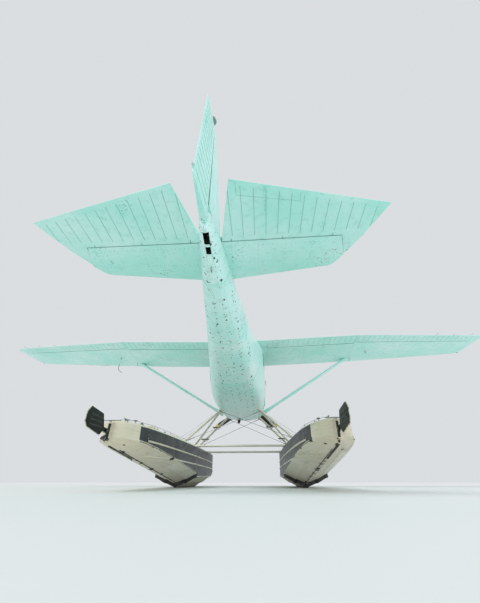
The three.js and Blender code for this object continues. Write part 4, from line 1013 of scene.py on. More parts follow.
class FLOATPLANE_OT_float_hulls(bpy.types.Operator):
    """Make the worn float hulls and their rivet rows"""

    bl_idname = "floatplane.float_hulls"
    bl_label = "Float hulls"

    def execute(self, context):
        for side, sign in SIDES:
            node = f"float_{side}"
            middle = float_middle(node)
            bm = welded(node)
            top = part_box(node)[1].z - WALL_TOP
            wear = edge_wear(
                bm, FLOAT_WEAR_BEND, FLOAT_WEAR_REACH, lambda edge: max(vertex.co.z for vertex in edge.verts) < top
            )
            layer = bm.verts.layers.float.new("edge_wear")
            for vertex, value in zip(bm.verts, wear):
                vertex[layer] = value
            hull = finished(f"{node}_skin", bm, "ivory", smooth=24.0)
            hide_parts(node)
            # The aft face of each float step is painted dark grey: painted shade in the step's recess
            paint(hull, "step", lambda centre, normal: normal.y > 0.9 and abs(centre.y - STEP_Y) < 0.02)
            # The inboard side walls are painted near-black: painted shade, with algae blotches
            paint(
                hull, "stained_wall",
                lambda centre, normal: normal.x * sign < -0.8 and WALL_SHADE_FROM < centre.y < WALL_SHADE_TO,
            )
            tree = surface_of(node)
            spots = []
            for y in FLOAT_STATIONS:
                spots += spaced(tree, fan((middle, y, 0.5), 0.9))
            for across, y0, y1, z, toward, length in FLOAT_ROWS:
                spots += spaced(tree, comb((middle + across, y0, z), (middle + across, y1, z), toward, length))
            rivets(f"{node}_rivets", spots, "ivory_heads")
        return {"FINISHED"}


DECK_Z = 0.95  # over every deck
HATCHES = (-3.15, -0.1, 1.05)
PUMP_CAPS, PUMP_INBOARD = (-3.62, -2.72, -1.72, -0.62, 0.42, 1.42), 0.12
CLEATS = ((-3.82, 0.0), (-0.42, 0.24), (1.62, 0.0))  # y and distance outboard of the keel line
BUMPER = (0.17, 0.11, 0.13)
GRIT_STRIPS = ((-3.0, -2.45), (-2.1, -0.75), (0.2, 0.85))
WALL_STRINGERS = (0.52, 0.38)  # heights
WALL_RUNS = ((-3.5, -1.04), (-0.95, 1.5))
FLUTES = (-0.209, -0.177, 0.177, 0.209)
KEEL_STRIPS = (  # name, finish, radius, y from, y to and length of the rays
    ("skeg_strip", "step", 0.014, 1.25, 1.93, 0.9),
    ("bow_strip", "steel", 0.012, -4.08, -3.3, 1.2),
)
UNDER_FLOAT = -0.2  # below every keel


def on_deck(tree, x, y):
    """Place and normal on a float's deck."""
    return touch(tree, (x, y, DECK_Z), -Z, 0.5)


def hatch():
    """Locker lid with a raised edge, a hinge along one side and two latches."""
    bm = tile(0.34, 0.44, 0.05, 0.012, 0.003)
    put(bm, tile(0.27, 0.37, 0.04, 0.008, 0.003), (0, 0, 0.009))
    put(bm, rod((-0.172, -0.17, 0.008), (-0.172, 0.17, 0.008), 0.007))
    for y in (-0.12, 0.12):
        put(bm, box((0.05, 0.026, 0.012), 0.003), (0.16, y, 0.012))
        put(bm, turned(((0, 0.03), (0.007, 0.03), (0.009, 0.024), (0.009, 0.0)), 10), (0.15, y, 0.006))
    return bm


def cleat():
    """Mooring cleat: two feet and a pair of horns."""
    bm = tile(0.055, 0.13, 0.02, 0.008, 0.002)
    for y in (-0.03, 0.03):
        put(bm, rod((0, y, 0.0), (0, y, 0.034), 0.012, 0.009))
    put(bm, rod((0, -0.085, 0.046), (0, 0, 0.038), 0.006, 0.011))
    put(bm, rod((0, 0, 0.038), (0, 0.085, 0.046), 0.011, 0.006))
    return bm


def pump_neck():
    """Flanged neck of a bilge opening in the deck."""
    return turned(((0, 0.004), (0.019, 0.004), (0.022, 0.016), (0.027, 0.014), (0.038, 0.004), (0.038, 0.0)))


def pump_plug():
    """Rubber ball pressed in a bilge opening."""
    return turned(((0, 0.03), (0.008, 0.028), (0.014, 0.022), (0.017, 0.014)), 14)


class FLOATPLANE_OT_float_fittings(bpy.types.Operator):
    """Put lids, cleats, pump openings, strips, stringers and bumpers on the floats"""

    bl_idname = "floatplane.float_fittings"
    bl_label = "Float fittings"

    def execute(self, context):
        for side, sign in SIDES:
            node = f"float_{side}"
            tree = surface_of(node)
            middle = float_middle(node)
            low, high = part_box(node)
            lids = [(hatch(), turned_to(*on_deck(tree, middle, y))) for y in HATCHES]
            cleats = [(cleat(), turned_to(*on_deck(tree, middle + out * sign, y))) for y, out in CLEATS]
            pumps = [turned_to(*on_deck(tree, middle - PUMP_INBOARD * sign, y)) for y in PUMP_CAPS]
            finished(f"{node}_hatches", joined(*lids), "ivory")
            finished(f"{node}_cleats", joined(*cleats), "steel")
            finished(f"{node}_pump_necks", joined(*((pump_neck(), matrix) for matrix in pumps)), "steel")
            finished(f"{node}_pump_plugs", joined(*((pump_plug(), matrix) for matrix in pumps)), "rubber")

            treads = bmesh.new()
            for y0, y1 in GRIT_STRIPS:
                put(treads, patch(tree, (middle, (y0 + y1) / 2, DECK_Z), X * 0.26, Y * (y1 - y0), -Z, 0.002, 8, 24))
            finished(f"{node}_treads", treads, "grit", smooth=32.0)

            stringers = []
            for z in WALL_STRINGERS:
                for y0, y1 in WALL_RUNS:
                    ends = [(middle - sign * 0.6, y, z) for y in (y0, y1)]
                    stringers.append(hits(tree, comb(*ends, X * sign, 0.5, 0.06), 0.001))
            bars(f"{node}_wall_stringers", stringers, 0.011, "ivory")
            bumper = joined((box(BUMPER, 0.03), (middle, low.y - 0.012, high.z - 0.165)))
            finished(f"{node}_bumper", bumper, "rubber")

            for name, finish, radius, y0, y1, length in KEEL_STRIPS:
                rays = comb((middle, y0, UNDER_FLOAT), (middle, y1, UNDER_FLOAT), Z, length, 0.04)
                bars(f"{node}_{name}", [hits(tree, rays)], radius, finish)
            flutes = []
            for x in FLUTES:
                ends = [(middle + x, y, UNDER_FLOAT) for y in (-3.7, -1.05)]
                flutes.append(hits(tree, comb(*ends, Z, 1.2, 0.08)))
            bars(f"{node}_flute_lines", flutes, 0.003, "gap")
        return {"FINISHED"}


BEAD = 0.0026
ELEVATOR_BEADS = (0.114, 1.68, 14)  # first and last line, and how many spaces between
ELEVATOR_Z, ELEVATOR_FRONT, ELEVATOR_BACK = 2.19, 3.31, 3.87
ELEVATOR_SWEEP, ELEVATOR_SWEEP_X = 0.235, 0.25  # how much its back edge runs forward, and from where
RUDDER_BEADS = (2.04, 3.65, 14)
RUDDER_FRONT, RUDDER_BACK, RUDDER_RAKE = 3.70, 4.055, 0.0576
TAB_CORNERS = ((-0.30, 3.888), (-0.30, 3.765), (-0.86, 3.665), (-0.86, 3.745))
BEACON_Y = 3.70


def between(first, last, count):
    """Even steps between two ends, without the ends."""
    return [first + (last - first) * i / count for i in range(1, count)]


def flanks(tree, start, end, toward, length):
    """Runs along both faces of a thin control surface, seen from either side."""
    runs = []
    for way in (-toward, toward):
        ends = [Vector(place) - way * length for place in (start, end)]
        runs.append(hits(tree, comb(*ends, way, length, 0.03)))
    return [run for run in runs if len(run) > 2]


class FLOATPLANE_OT_tail_details(bpy.types.Operator):
    """Put bead ridges, well rims, the trim tab, lamps and small fittings on the tail"""

    bl_idname = "floatplane.tail_details"
    bl_label = "Tail details"

    def execute(self, context):
        elevator = surface_of("elevator")
        ridges = []
        for sign in (-1, 1):
            for x in between(*ELEVATOR_BEADS):
                back = ELEVATOR_BACK - ELEVATOR_SWEEP * max(0.0, x - ELEVATOR_SWEEP_X)
                ends = [(sign * x, y, ELEVATOR_Z) for y in (ELEVATOR_FRONT, back)]
                ridges += flanks(elevator, *ends, Z, 0.2)
        # Elevator ridges in the darker mint, as painted shade along each bead
        bars("elevator_ridges", ridges, BEAD, "mint_line", "elevator", roundness=1)
        rudder = surface_of("rudder")
        ridges = []
        for z in between(*RUDDER_BEADS):
            back = RUDDER_BACK - RUDDER_RAKE * (z - RUDDER_BEADS[0])
            ridges += flanks(rudder, (0, RUDDER_FRONT, z), (0, back, z), X, 0.2)
        # Rudder ridges in the darker mint, as painted shade along each bead
        bars("rudder_ridges", ridges, BEAD, "mint_line", "rudder", roundness=1)

        tree = surface_of("tailcone")
        edges = []
        for y0, y1, half in WELLS:
            x, y0, y1 = half + 0.004, y0 - 0.004, y1 + 0.004
            corners = [(-x, y0, 1.7), (x, y0, 1.7), (x, y1, 1.7), (-x, y1, 1.7)]
            edges += [hits(tree, comb(a, b, Z, 0.5, 0.01)) for a, b in zip(corners, corners[1:] + corners[:1])]
        bars("well_rims", edges, 0.0055, "mint_body")

        lamp = turned(((0, 0.016), (0.007, 0.014), (0.012, 0.006), (0.013, -0.012)), 16)
        finished("tail_lamp", joined((lamp, turned_to((0, 4.104, 2.12), Y))), "clear_lens", "rudder", smooth=60)
        beacon = turned(((0, 0.075), (0.02, 0.072), (0.036, 0.055), (0.042, 0.02), (0.042, 0.0)))
        finished("beacon_lamp", joined((beacon, (0, BEACON_Y, 3.690))), "red_lens", "rudder", smooth=60)
        base = turned(((0, 0.006), (0.046, 0.006), (0.05, 0.0), (0.05, -0.008)))
        finished("beacon_base", joined((base, (0, BEACON_Y, 3.692))), "steel", "rudder")
        bars("tail_tie_ring", [ring((0.0, 3.12, 1.893), X, 0.026)], 0.006, "steel", closed=True)

        seams = []
        for way in (-Z, Z):
            corners = [Vector((x, y, ELEVATOR_Z)) - way * 0.2 for x, y in TAB_CORNERS]
            seams.append([])
            for a, b in zip(corners, corners[1:]):
                seams[-1] += hits(elevator, comb(a, b, way, 0.2, 0.02))
        # Tab seams in the darker mint, as painted shade in the seam
        bars("trim_tab_seams", seams, 0.0017, "mint_line", "elevator", roundness=1)
        place, _ = touch(elevator, (-0.55, 3.80, 1.9), Z, 0.5)
        horn = plate(((-0.02, 0.0), (0.03, 0.0), (0.004, -0.06), (-0.006, -0.06)), 0.004)
        arm = joined(
            (horn, Matrix.Translation(place) @ spun(90, "Z") @ spun(90, "X")),
            (rod(place + Vector((0, 0, -0.05)), (place.x, 3.60, 2.157), 0.0028), None),
        )
        finished("trim_tab_rod", arm, "mint_heads", "elevator")
        return {"FINISHED"}


# Ends of the float struts on the left side, at the fuselage and at the deck
FRONT_TOP, FRONT_FOOT = (0.360, -2.240, 1.500), (1.190, -2.330, 0.745)
AFT_TOP, AFT_FOOT = (0.380, -1.010, 1.430), (1.190, -0.960, 0.740)
DIAGONAL_FOOT = (1.190, -2.000, 0.745)
STRUTS = (  # top, foot, chord, thickness and the shares of its length where collars sit
    (FRONT_TOP, FRONT_FOOT, 0.110, 0.044, (0.045, 0.925)), (AFT_TOP, AFT_FOOT, 0.110, 0.044, (0.045, 0.925)),
    (AFT_TOP, DIAGONAL_FOOT, 0.090, 0.038, (0.10, 0.950)),
)
SPREADER_Z, SPREADER_END = 0.700, 0.868
BOLT_X, BOLT_Y = 0.055, 0.08
BRACE_SHIFT = 0.05  # the crossed wires pass each other by twice this
TREADS, TREAD_BACK = (0.36, 0.70), 0.11  # shares of the front strut's length, and how far behind it
RUDDER_POST = (1.25, 2.025, 0.640)
CABLE = 0.0024
TILLER = ((-0.12, -0.012), (0, -0.022), (0.12, -0.012), (0.12, 0.012), (0, 0.022), (-0.12, 0.012))
TILLER_UP = 0.034
PULLEY_Y, PULLEY_UP = 1.60, 0.032
GUIDES, GUIDE_OUT, GUIDE_UP = (1.2, 0.8, 0.4, 0.0, -0.4, -0.86), 0.215, 0.03
BLADE_RIBS, BLADE_Y = (0.575, 0.62, 0.665), 2.33


def mirrored(place, sign):
    """The same place on the left or the right side."""
    return Vector((place[0] * sign, place[1], place[2]))


class FLOATPLANE_OT_rigging(bpy.types.Operator):
    """Put collars, base plates, brace wires and boarding steps on the float struts"""

    bl_idname = "floatplane.rigging"
    bl_label = "Float rigging"

    def execute(self, context):
        collars, plates, bolts = bmesh.new(), bmesh.new(), bmesh.new()
        for side, sign in SIDES:
            deck = surface_of(f"float_{side}")
            for top, foot, chord, thick, shares in STRUTS:
                for share in shares:
                    matrix = strut_matrix(mirrored(top, sign), mirrored(foot, sign), share)
                    put(collars, collar(chord, thick, 0.05), matrix)
                matrix = turned_to(*touch(deck, mirrored(foot, sign) + Z * 0.3, -Z, 0.6))
                put(plates, tile(0.15, 0.20, 0.02, 0.014, 0.003), matrix)
                for x in (-BOLT_X, BOLT_X):
                    for y in (-BOLT_Y, BOLT_Y):
                        bolt = turned(((0, 0.02), (0.008, 0.02), (0.0095, 0.018), (0.0095, 0.0)), 6)
                        put(bolts, bolt, matrix @ Matrix.Translation((x, y, 0)))
            for _, y, _ in (FRONT_FOOT, AFT_FOOT):
                bar = (0, y, SPREADER_Z), (sign, y, SPREADER_Z)
                put(collars, collar(0.090, 0.040, 0.06), strut_matrix(*bar, SPREADER_END))
        finished("strut_collars", collars, "ivory")
        finished("strut_base_plates", plates, "ivory_heads")
        finished("strut_bolts", bolts, "steel")

        wires, ends = [], bmesh.new()
        for top, foot in ((FRONT_TOP, FRONT_FOOT), (AFT_TOP, AFT_FOOT)):
            for _, sign in SIDES:
                shift = Y * (BRACE_SHIFT * sign)
                start = mirrored(top, sign).lerp(mirrored(foot, sign), 0.08) + shift
                end = mirrored(foot, -sign).lerp(mirrored(top, -sign), 0.10) + shift
                wires.append([start, end])
                way = (end - start).normalized()
                for at, along in ((start, way), (end, -way)):
                    put(ends, rod(at, at + along * 0.05, 0.010, sides=8))
                    put(ends, rod(at + along * 0.05, at + along * 0.17, 0.0075, sides=8))
        bars("brace_wires", wires, 0.0042, "steel")
        finished("brace_turnbuckles", ends, "steel")

        treads, hangers = bmesh.new(), bmesh.new()
        for _, sign in SIDES:
            for share in TREADS:
                middle = mirrored(FRONT_TOP, sign).lerp(mirrored(FRONT_FOOT, sign), share) + Y * TREAD_BACK
                put(treads, tile(0.20, 0.12, 0.02, 0.010, 0.002), middle)
                for x in (-0.08, 0.08):
                    put(hangers, rod(middle + X * x, middle + X * x * 0.35 - Y * 0.075 - Z * 0.045, 0.006))
        finished("boarding_treads", treads, "grit")
        finished("boarding_brackets", hangers, "steel")
        return {"FINISHED"}


class FLOATPLANE_OT_water_rudders(bpy.types.Operator):
    """Put tillers, cables, pulleys and steering lines on the water rudders, and ribs and rims on their blades"""

    bl_idname = "floatplane.water_rudders"
    bl_label = "Water rudders"

    def execute(self, context):
        for side, sign in SIDES:
            deck = surface_of(f"float_{side}")
            post = mirrored(RUDDER_POST, sign)
            post_body, blade_body = f"water_rudder_{side}", f"water_blade_{side}"
            crown = post + Z * TILLER_UP
            tiller = joined((rod(post, crown, 0.011), None), (plate(TILLER, 0.006, 0.002), crown))
            finished(f"tiller_{side}", tiller, "steel", post_body)
            pulleys, guides = bmesh.new(), bmesh.new()
            for out, hand in ((-1, "inner"), (1, "outer")):
                near = post + X * out * 0.112 + Z * 0.040
                place, normal = on_deck(deck, post.x + out * 0.11, PULLEY_Y)
                pulley = place + Z * PULLEY_UP
                run = [near.lerp(pulley, i / 12) for i in range(13)]
                cable = bars(f"rudder_cable_{side}_{hand}", [run], CABLE, "steel", None)
                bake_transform(cable)
                put(pulleys, tile(0.05, 0.09, 0.01, 0.006), turned_to(place, normal))
                put(pulleys, rod(place, pulley - Z * 0.006, 0.007))
                put(pulleys, turned(((0, 0.006), (0.024, 0.006), (0.019, 0.0), (0.024, -0.006))), pulley)
                run = [pulley]
                for y in GUIDES:
                    at, up = on_deck(deck, post.x + out * GUIDE_OUT, y)
                    run.append(at + up * GUIDE_UP)
                run.append(mirrored(AFT_FOOT, sign) + Vector((0.05 * out, 0.02, 0.10)))
                run.append(mirrored(AFT_TOP, sign) + Vector((0.03 * out, 0.055, -0.045)))
                bars(f"steering_line_{side}_{hand}", [run], CABLE, "steel")
                for at in run[1:-2:2]:
                    put(guides, rod(at - Z * GUIDE_UP, at + Z * 0.006, 0.006, 0.005, 8))
            finished(f"cable_guides_{side}", guides, "steel")
            finished(f"cable_pulleys_{side}", pulleys, "steel")

            blade = surface_of(f"water_rudder_blade_{side}")
            ribs = bmesh.new()
            for z in BLADE_RIBS:
                for way in (-1, 1):
                    middle = (post.x + way * 0.1, BLADE_Y, z)
                    put(ribs, patch(blade, middle, Y * 0.24, Z * 0.012, X * -way, 0.004, 8, 1))
            finished(f"blade_ribs_{side}", ribs, "step", blade_body)
            rim = rims(f"water_rudder_blade_{side}", lambda centre, normal: normal.x * sign > 0.9)
            bars(f"blade_rim_{side}", rim, 0.005, "ivory_heads", blade_body, closed=True)
            pivot = rod((post.x - 0.024, 2.085, 0.56), (post.x + 0.024, 2.085, 0.56), 0.009, sides=6)
            finished(f"blade_pivot_{side}", pivot, "steel", post_body)
        return {"FINISHED"}


FASTENER_PITCH, SCREW_PITCH = 0.13, 0.055
NOSE_BOWL, COWL_BACK = -3.20, -2.385
COWL_MIDDLE, COWL_SPLIT = 1.86, 1.93  # heights
OIL_DOOR, OIL_LATCH = (0.20, -2.86, 2.4), (0.255, -2.86, 2.4)  # above their places
SPINNER_SCREWS, SPINNER_EDGE, SPINNER_RADIUS = (0, -3.452, 1.95), (0, -3.47, 1.95), 0.1688
INLET_X, INLET_Z, INLET_WIDE, INLET_HIGH = 0.178, 1.962, 0.085, 0.065  # middle and half size of the inlets


class FLOATPLANE_OT_nose(bpy.types.Operator):
    """Put seams, fasteners, inlet lips and the oil door on the nose, and screws on the spinner"""

    bl_idname = "floatplane.nose"
    bl_label = "Nose"

    def execute(self, context):
        tree = surface_of("cowl")
        seams = [hits(tree, fan((0, NOSE_BOWL, COWL_MIDDLE), 1.0, 160))]
        seams[0].append(seams[0][0])
        fasteners = spaced(tree, fan((0, NOSE_BOWL + 0.03, COWL_MIDDLE), 1.0), FASTENER_PITCH)
        fasteners += spaced(tree, fan((0, -2.415, 1.80), 1.0), FASTENER_PITCH)
        lips = []
        for sign in (-1, 1):
            start, end = (Vector((sign * 0.9, y, COWL_SPLIT)) for y in (NOSE_BOWL, COWL_BACK))
            seams.append(hits(tree, comb(start, end, (-sign, 0, 0), 0.8, 0.03)))
            for rise in (Z * -0.028, Z * 0.028):
                fasteners += spaced(tree, comb(start + rise, end + rise, (-sign, 0, 0), 0.8), FASTENER_PITCH)
            lip = hits(tree, [
                ((sign * INLET_X + INLET_WIDE * math.cos(t), -4.2, INLET_Z + INLET_HIGH * math.sin(t)), Y, 2.0)
                for t in (math.tau * i / 48 for i in range(48))
            ])
            lips.append([point for point in lip if point.y < NOSE_BOWL])
        bars("cowl_seams", seams, 0.0022, "gap", roundness=1)
        rivets("cowl_fasteners", fasteners, "steel", radius=0.0095, height=0.0024)
        bars("inlet_lips", lips, 0.006, "mint", closed=True)
        finished("oil_door", patch(tree, OIL_DOOR, X * 0.15, Y * 0.20, -Z, 0.003), "mint")
        latch = joined(
            (button(0.012, 0.014, 0.004),
             turned_to(*touch(tree, OIL_LATCH, -Z, 0.6)) @ Matrix.Translation((0, 0, 0.003))),
            (rod((0.121, -2.95, 2.116), (0.121, -2.77, 2.116), 0.005), None),
        )
        finished("oil_door_latch", latch, "steel")

        screws = spaced(surface_of("spinner"), fan(SPINNER_SCREWS, 0.4), SCREW_PITCH)
        rivets("spinner_screws", screws, "steel", "propeller", 0.006, 0.0016)
        edge = [ring(SPINNER_EDGE, Y, SPINNER_RADIUS, 48)]
        bars("spinner_edge", edge, 0.0024, "steel", "propeller", closed=True)
        return {"FINISHED"}


WINDSCREEN_INSIDE = Vector((0, -1.5, 2.0))
AERIALS, WHIP_Y = ((-0.62, 0.24), (0.34, 0.20)), 1.15  # y and height of the blade aerials
HANDLE, LOCK, BAGGAGE_LATCH = (-1.03, 1.985), (-1.03, 1.90), (0.37, 1.93)  # y and z
DRIP_FROM, DRIP_TO, DRIP_Z = -1.66, -0.84, 2.565


def facing(sign):
    """Test for the outer faces of a side panel or pane."""
    return lambda centre, normal: normal.x * sign > 0.55


def door_seal(node, sign, radius):
    """Rubber seal along the longest rim of a door's outer face."""
    longest = max(rims(node, facing(sign)), key=lambda run: sum((b - a).length for a, b in zip(run, run[1:])))
    bars(f"{node}_seal", [longest], radius, "rubber", node, closed=True)


class FLOATPLANE_OT_windows(bpy.types.Operator):
    """Put seals round windows and doors, the windscreen's strip, handles, drip rails and aerials"""

    bl_idname = "floatplane.windows"
    bl_label = "Windows, doors and aerials"

    def execute(self, context):
        shell = surface_of("cabin_top")
        for side, sign in SIDES:
            door = f"door_{side}"
            for pane, body in ((f"door_window_{side}", door), (f"side_window_{side}", "airframe")):
                bars(f"{pane}_seal", rims(pane, facing(sign)), 0.0085, "rubber", body, closed=True)
            door_seal(door, sign, 0.0032)

            tree = surface_of(door)
            place, normal = touch(tree, (sign * 1.0, *HANDLE), X * -sign, 0.6)
            matrix = turned_to(place, normal)
            hub = rod(place, matrix @ Vector((0, 0, 0.024)), 0.008)
            handle = joined((tile(0.055, 0.15, 0.02, 0.006, 0.002), matrix @ spun(90, "Z")), (hub, None))
            finished(f"{door}_handle_plate", handle, "steel", door)
            lever = box((0.022, 0.125, 0.010), 0.004)
            matrix = Matrix.Translation(place + normal * 0.024 + Y * -0.045) @ turned_to((0, 0, 0), normal)
            finished(f"{door}_handle", joined((lever, matrix)), "steel", door)
            matrix = turned_to(*touch(tree, (sign * 1.0, *LOCK), X * -sign, 0.6))
            finished(f"{door}_lock", joined((button(0.009, 0.011, 0.005), matrix)), "steel", door)
            ends = [(sign * 1.0, y, DRIP_Z) for y in (DRIP_FROM, DRIP_TO)]
            rail = hits(shell, comb(*ends, (-sign, 0, 0), 0.7, 0.03), 0.004)
            bars(f"drip_rail_{side}", [rail], 0.006, "mint")

        glass = rims(
            "windscreen", lambda centre, normal: normal.dot((centre - WINDSCREEN_INSIDE).normalized()) > 0.5
        )
        bars("windscreen_seal", glass, 0.009, "rubber", closed=True)
        strip = bmesh.new()
        line = hits(surface_of("windscreen"), comb((0, -2.9, 2.14), (0, -2.9, 2.94), Y, 1.9, 0.02), 0.003)
        for a, b in zip(line, line[1:]):
            length = (b - a).length * 1.04
            put(strip, box((0.032, length, 0.008)), turned_to((a + b) / 2, (b - a).normalized(), "Y", "Z"))
        finished("windscreen_strip", strip, "mint", smooth=60)

        door_seal("baggage_door", 1, 0.003)
        matrix = turned_to(*touch(surface_of("baggage_door"), (1.0, *BAGGAGE_LATCH), -X, 0.8))
        latch = joined((tile(0.04, 0.075, 0.015, 0.005, 0.0015), matrix), (button(0.010, 0.012, 0.009), matrix))
        finished("baggage_latch", latch, "steel", "baggage_door")

        roof = surface_of("cabin_top", "tailcone", "fin", "wing_left", "wing_right")
        masts, feet = bmesh.new(), bmesh.new()
        for y, height in AERIALS:
            place, normal = touch(roof, (0, y, 3.4), -Z, 1.4)
            put(feet, tile(0.05, 0.15, 0.024, 0.008, 0.002), turned_to(place, normal))
            blade = plate(((-0.055, 0), (0.045, 0), (0.075, height), (0.035, height)), 0.012, 0.004)
            put(masts, blade, Matrix.Translation(place - Z * 0.01) @ spun(90, "Z") @ spun(90, "X"))
        finished("antenna_blades", masts, "mint")
        finished("antenna_bases", feet, "rubber")
        place, _ = touch(roof, (0, WHIP_Y, 3.2), -Z, 1.6)
        whip = [place, place + Vector((0, 0.04, 0.16)), place + Vector((0, 0.22, 0.52))]
        bars("whip_antenna", [whip], 0.0028, "rubber")
        return {"FINISHED"}


COVER_PLACES = (  # distance out and share of the chord
    (1.28, 0.42), (1.28, 0.66), (1.94, 0.46), (2.38, 0.62), (3.08, 0.50), (3.56, 0.62), (4.04, 0.50), (4.52, 0.60),
    (4.98, 0.55),
)
FUEL_CAPS = ((1.30, -1.36), (2.10, -1.36))
UNDER_WING, OVER_WING = 2.2, 3.3
WING_LAMP = (5.405, -1.635, 2.846)
STROBE = ((5.44, -0.93, 2.834), (5.472, -0.88, 2.834))
TIE_RING, FUEL_VENT, PITOT = (2.95, -1.05), (2.66, -1.38), (3.25, -1.58)
PITOT_BENDS = ((0, 0, 0), (0, 0, -0.11), (0, -0.03, -0.135), (0, -0.24, -0.135))
WICKS = (4.3, 4.7, 5.1)
AILERON_LINE = ((2.62, -0.52), (5.18, -0.846))
FLAP_EDGES = (0.65, 2.56)
FLAP_PROBE, FLAP_FRONT, FLAP_BACK = -0.46, -0.50, -0.225
BEAD_STEP = 0.112
LANDING_LAMP = (3.60, 3.86)  # distance out of its ends
LANDING_LAMP_BACK = -1.70


def chord_beads(name, tree, sign, stations):
    """Beads along both faces of an aileron or flap. Each station has its distance out, the y where its height is
    taken, and its y from and to."""
    runs = []
    for x, probe, front, back in stations:
        middle = touch(tree, (sign * x, probe, OVER_WING), -Z, 1.2)[0].z - 0.03
        runs += flanks(tree, (sign * x, front, middle), (sign * x, back, middle), Z, 0.3)
    part, side = name.split("_beads_")
    # Beads in the darker mint, as painted shade along each bead
    bars(name, runs, BEAD, "mint_line", f"{part}_{side}", roundness=1)


class FLOATPLANE_OT_wing_fittings(bpy.types.Operator):
    """Put beads, lamps, fuel caps, inspection covers, the pitot tube and wicks on the wings"""

    bl_idname = "floatplane.wing_fittings"
    bl_label = "Wing fittings"

    def execute(self, context):
        (x0, y0), (x1, y1) = AILERON_LINE
        count = round((x1 - x0) / BEAD_STEP)
        aileron_stations = [
            (x, y + 0.1, y + 0.05, wing_y(x, 1) - 0.025)
            for x, y in zip(between(x0, x1, count), between(y0, y1, count))
        ]
        count = round((FLAP_EDGES[1] - FLAP_EDGES[0]) / BEAD_STEP)
        flap_stations = [(x, FLAP_PROBE, FLAP_FRONT, FLAP_BACK) for x in between(*FLAP_EDGES, count)]
        for side, sign in SIDES:
            tree = surface_of(f"wing_{side}")
            covers, screws = bmesh.new(), []
            for x, share in COVER_PLACES:
                place, normal = touch(tree, (sign * x, wing_y(x, share), UNDER_WING), Z, 1.0)
                put(covers, button(0.052, 0.055, 0.0022, 28), turned_to(place, normal))
                screws += [(point + normal * 0.0022, normal) for point in ring(place, normal, 0.044, 8)]
            finished(f"wing_covers_{side}", covers, "mint", smooth=30)
            rivets(f"wing_cover_screws_{side}", screws, "steel", radius=0.0045, height=0.0014)

            caps = bmesh.new()
            for x, y in FUEL_CAPS:
                matrix = turned_to(*touch(tree, (sign * x, y, OVER_WING), -Z, 1.0))
                put(caps, turned(((0, 0.007), (0.034, 0.007), (0.040, 0.004), (0.058, 0.003), (0.062, 0)), 28), matrix)
                put(caps, box((0.014, 0.05, 0.008), 0.003), matrix @ Matrix.Translation((0, 0, 0.009)))
            finished(f"fuel_caps_{side}", caps, "steel")

            lamp = turned(((0, 0.055), (0.018, 0.050), (0.030, 0.032), (0.034, 0.0)))
            lamp = joined((lamp, turned_to(mirrored(WING_LAMP, sign), (sign, -0.9, 0))))
            finished(f"wing_lamp_{side}", lamp, "red_lens" if sign > 0 else "green_lens", smooth=60)
            strobe = rod(*(mirrored(place, sign) for place in STROBE), 0.012, 0.009)
            finished(f"wing_strobe_{side}", strobe, "clear_lens", smooth=60)

            aileron = surface_of(f"aileron_{side}")
            chord_beads(f"aileron_beads_{side}", aileron, sign, aileron_stations)
            chord_beads(f"flap_beads_{side}", surface_of(f"flap_{side}"), sign, flap_stations)
            wicks = []
            for x in WICKS:
                place, _ = touch(aileron, (sign * x, wing_y(x, 1) - 0.01, OVER_WING), -Z, 1.2)
                wicks.append([place - Z * 0.002, place + Vector((0, 0.11, -0.006))])
            bars(f"aileron_wicks_{side}", wicks, 0.0018, "rubber", f"aileron_{side}")

            place, _ = touch(tree, mirrored((*TIE_RING, UNDER_WING), sign), Z, 1.0)
            bars(f"wing_tie_ring_{side}", [ring(place - Z * 0.022, X, 0.024)], 0.005, "steel", closed=True)
            vent, _ = touch(tree, mirrored((*FUEL_VENT, UNDER_WING), sign), Z, 1.0)
            bars(f"fuel_vent_{side}", [[vent, vent - Z * 0.05, vent + Vector((0, -0.03, -0.07))]], 0.006, "steel")

        place, _ = touch(surface_of("wing_left"), (*PITOT, UNDER_WING), Z, 1.0)
        bars("pitot_tube", [[place + Vector(shift) for shift in PITOT_BENDS]], 0.0075, "steel", roundness=4)

        glass = welded("wing_left")
        for place, beyond in (
            ((LANDING_LAMP[0], 0, 0), -X), ((LANDING_LAMP[1], 0, 0), X), ((0, LANDING_LAMP_BACK, 0), Y),
        ):
            cut(glass, place, beyond)
        glass.normal_update()
        mirror = glass.copy()
        for lining, proud in ((mirror, 0.0012), (glass, 0.005)):
            for vertex in lining.verts:
                vertex.co += vertex.normal * proud
            bmesh.ops.solidify(lining, geom=lining.faces[:], thickness=0.0012)
        finished("landing_lamp_reflector", mirror, "steel", smooth=60)
        finished("landing_lamp_cover", glass, "glass", smooth=60)
        return {"FINISHED"}


FRONT_SEATS = (0.25, -0.25)
SEAT_CUSHION, SEAT_BACK = (0.425, 0.455, 0.10), (0.405, 0.075, 0.50)
BENCH_CUSHION, BENCH_BACK = (0.80, 0.40, 0.095), (0.785, 0.075, 0.48)
BUCKLE = (0.055, 0.062, 0.016)
SEAT_CHANNELS = (-0.12, -0.04, 0.04, 0.12)
BENCH_CHANNELS = (-0.30, -0.20, -0.10, 0.0, 0.10, 0.20, 0.30)
SEAT_LEAN = -10.4  # degrees
FORWARD = Vector((0.0, -math.cos(math.radians(SEAT_LEAN)), -math.sin(math.radians(SEAT_LEAN))))
PAD_VOXEL, PAD_SWELL, PAD_PRESSURE, SWELL_STEPS = 0.009, 0.013, 4.0, 20


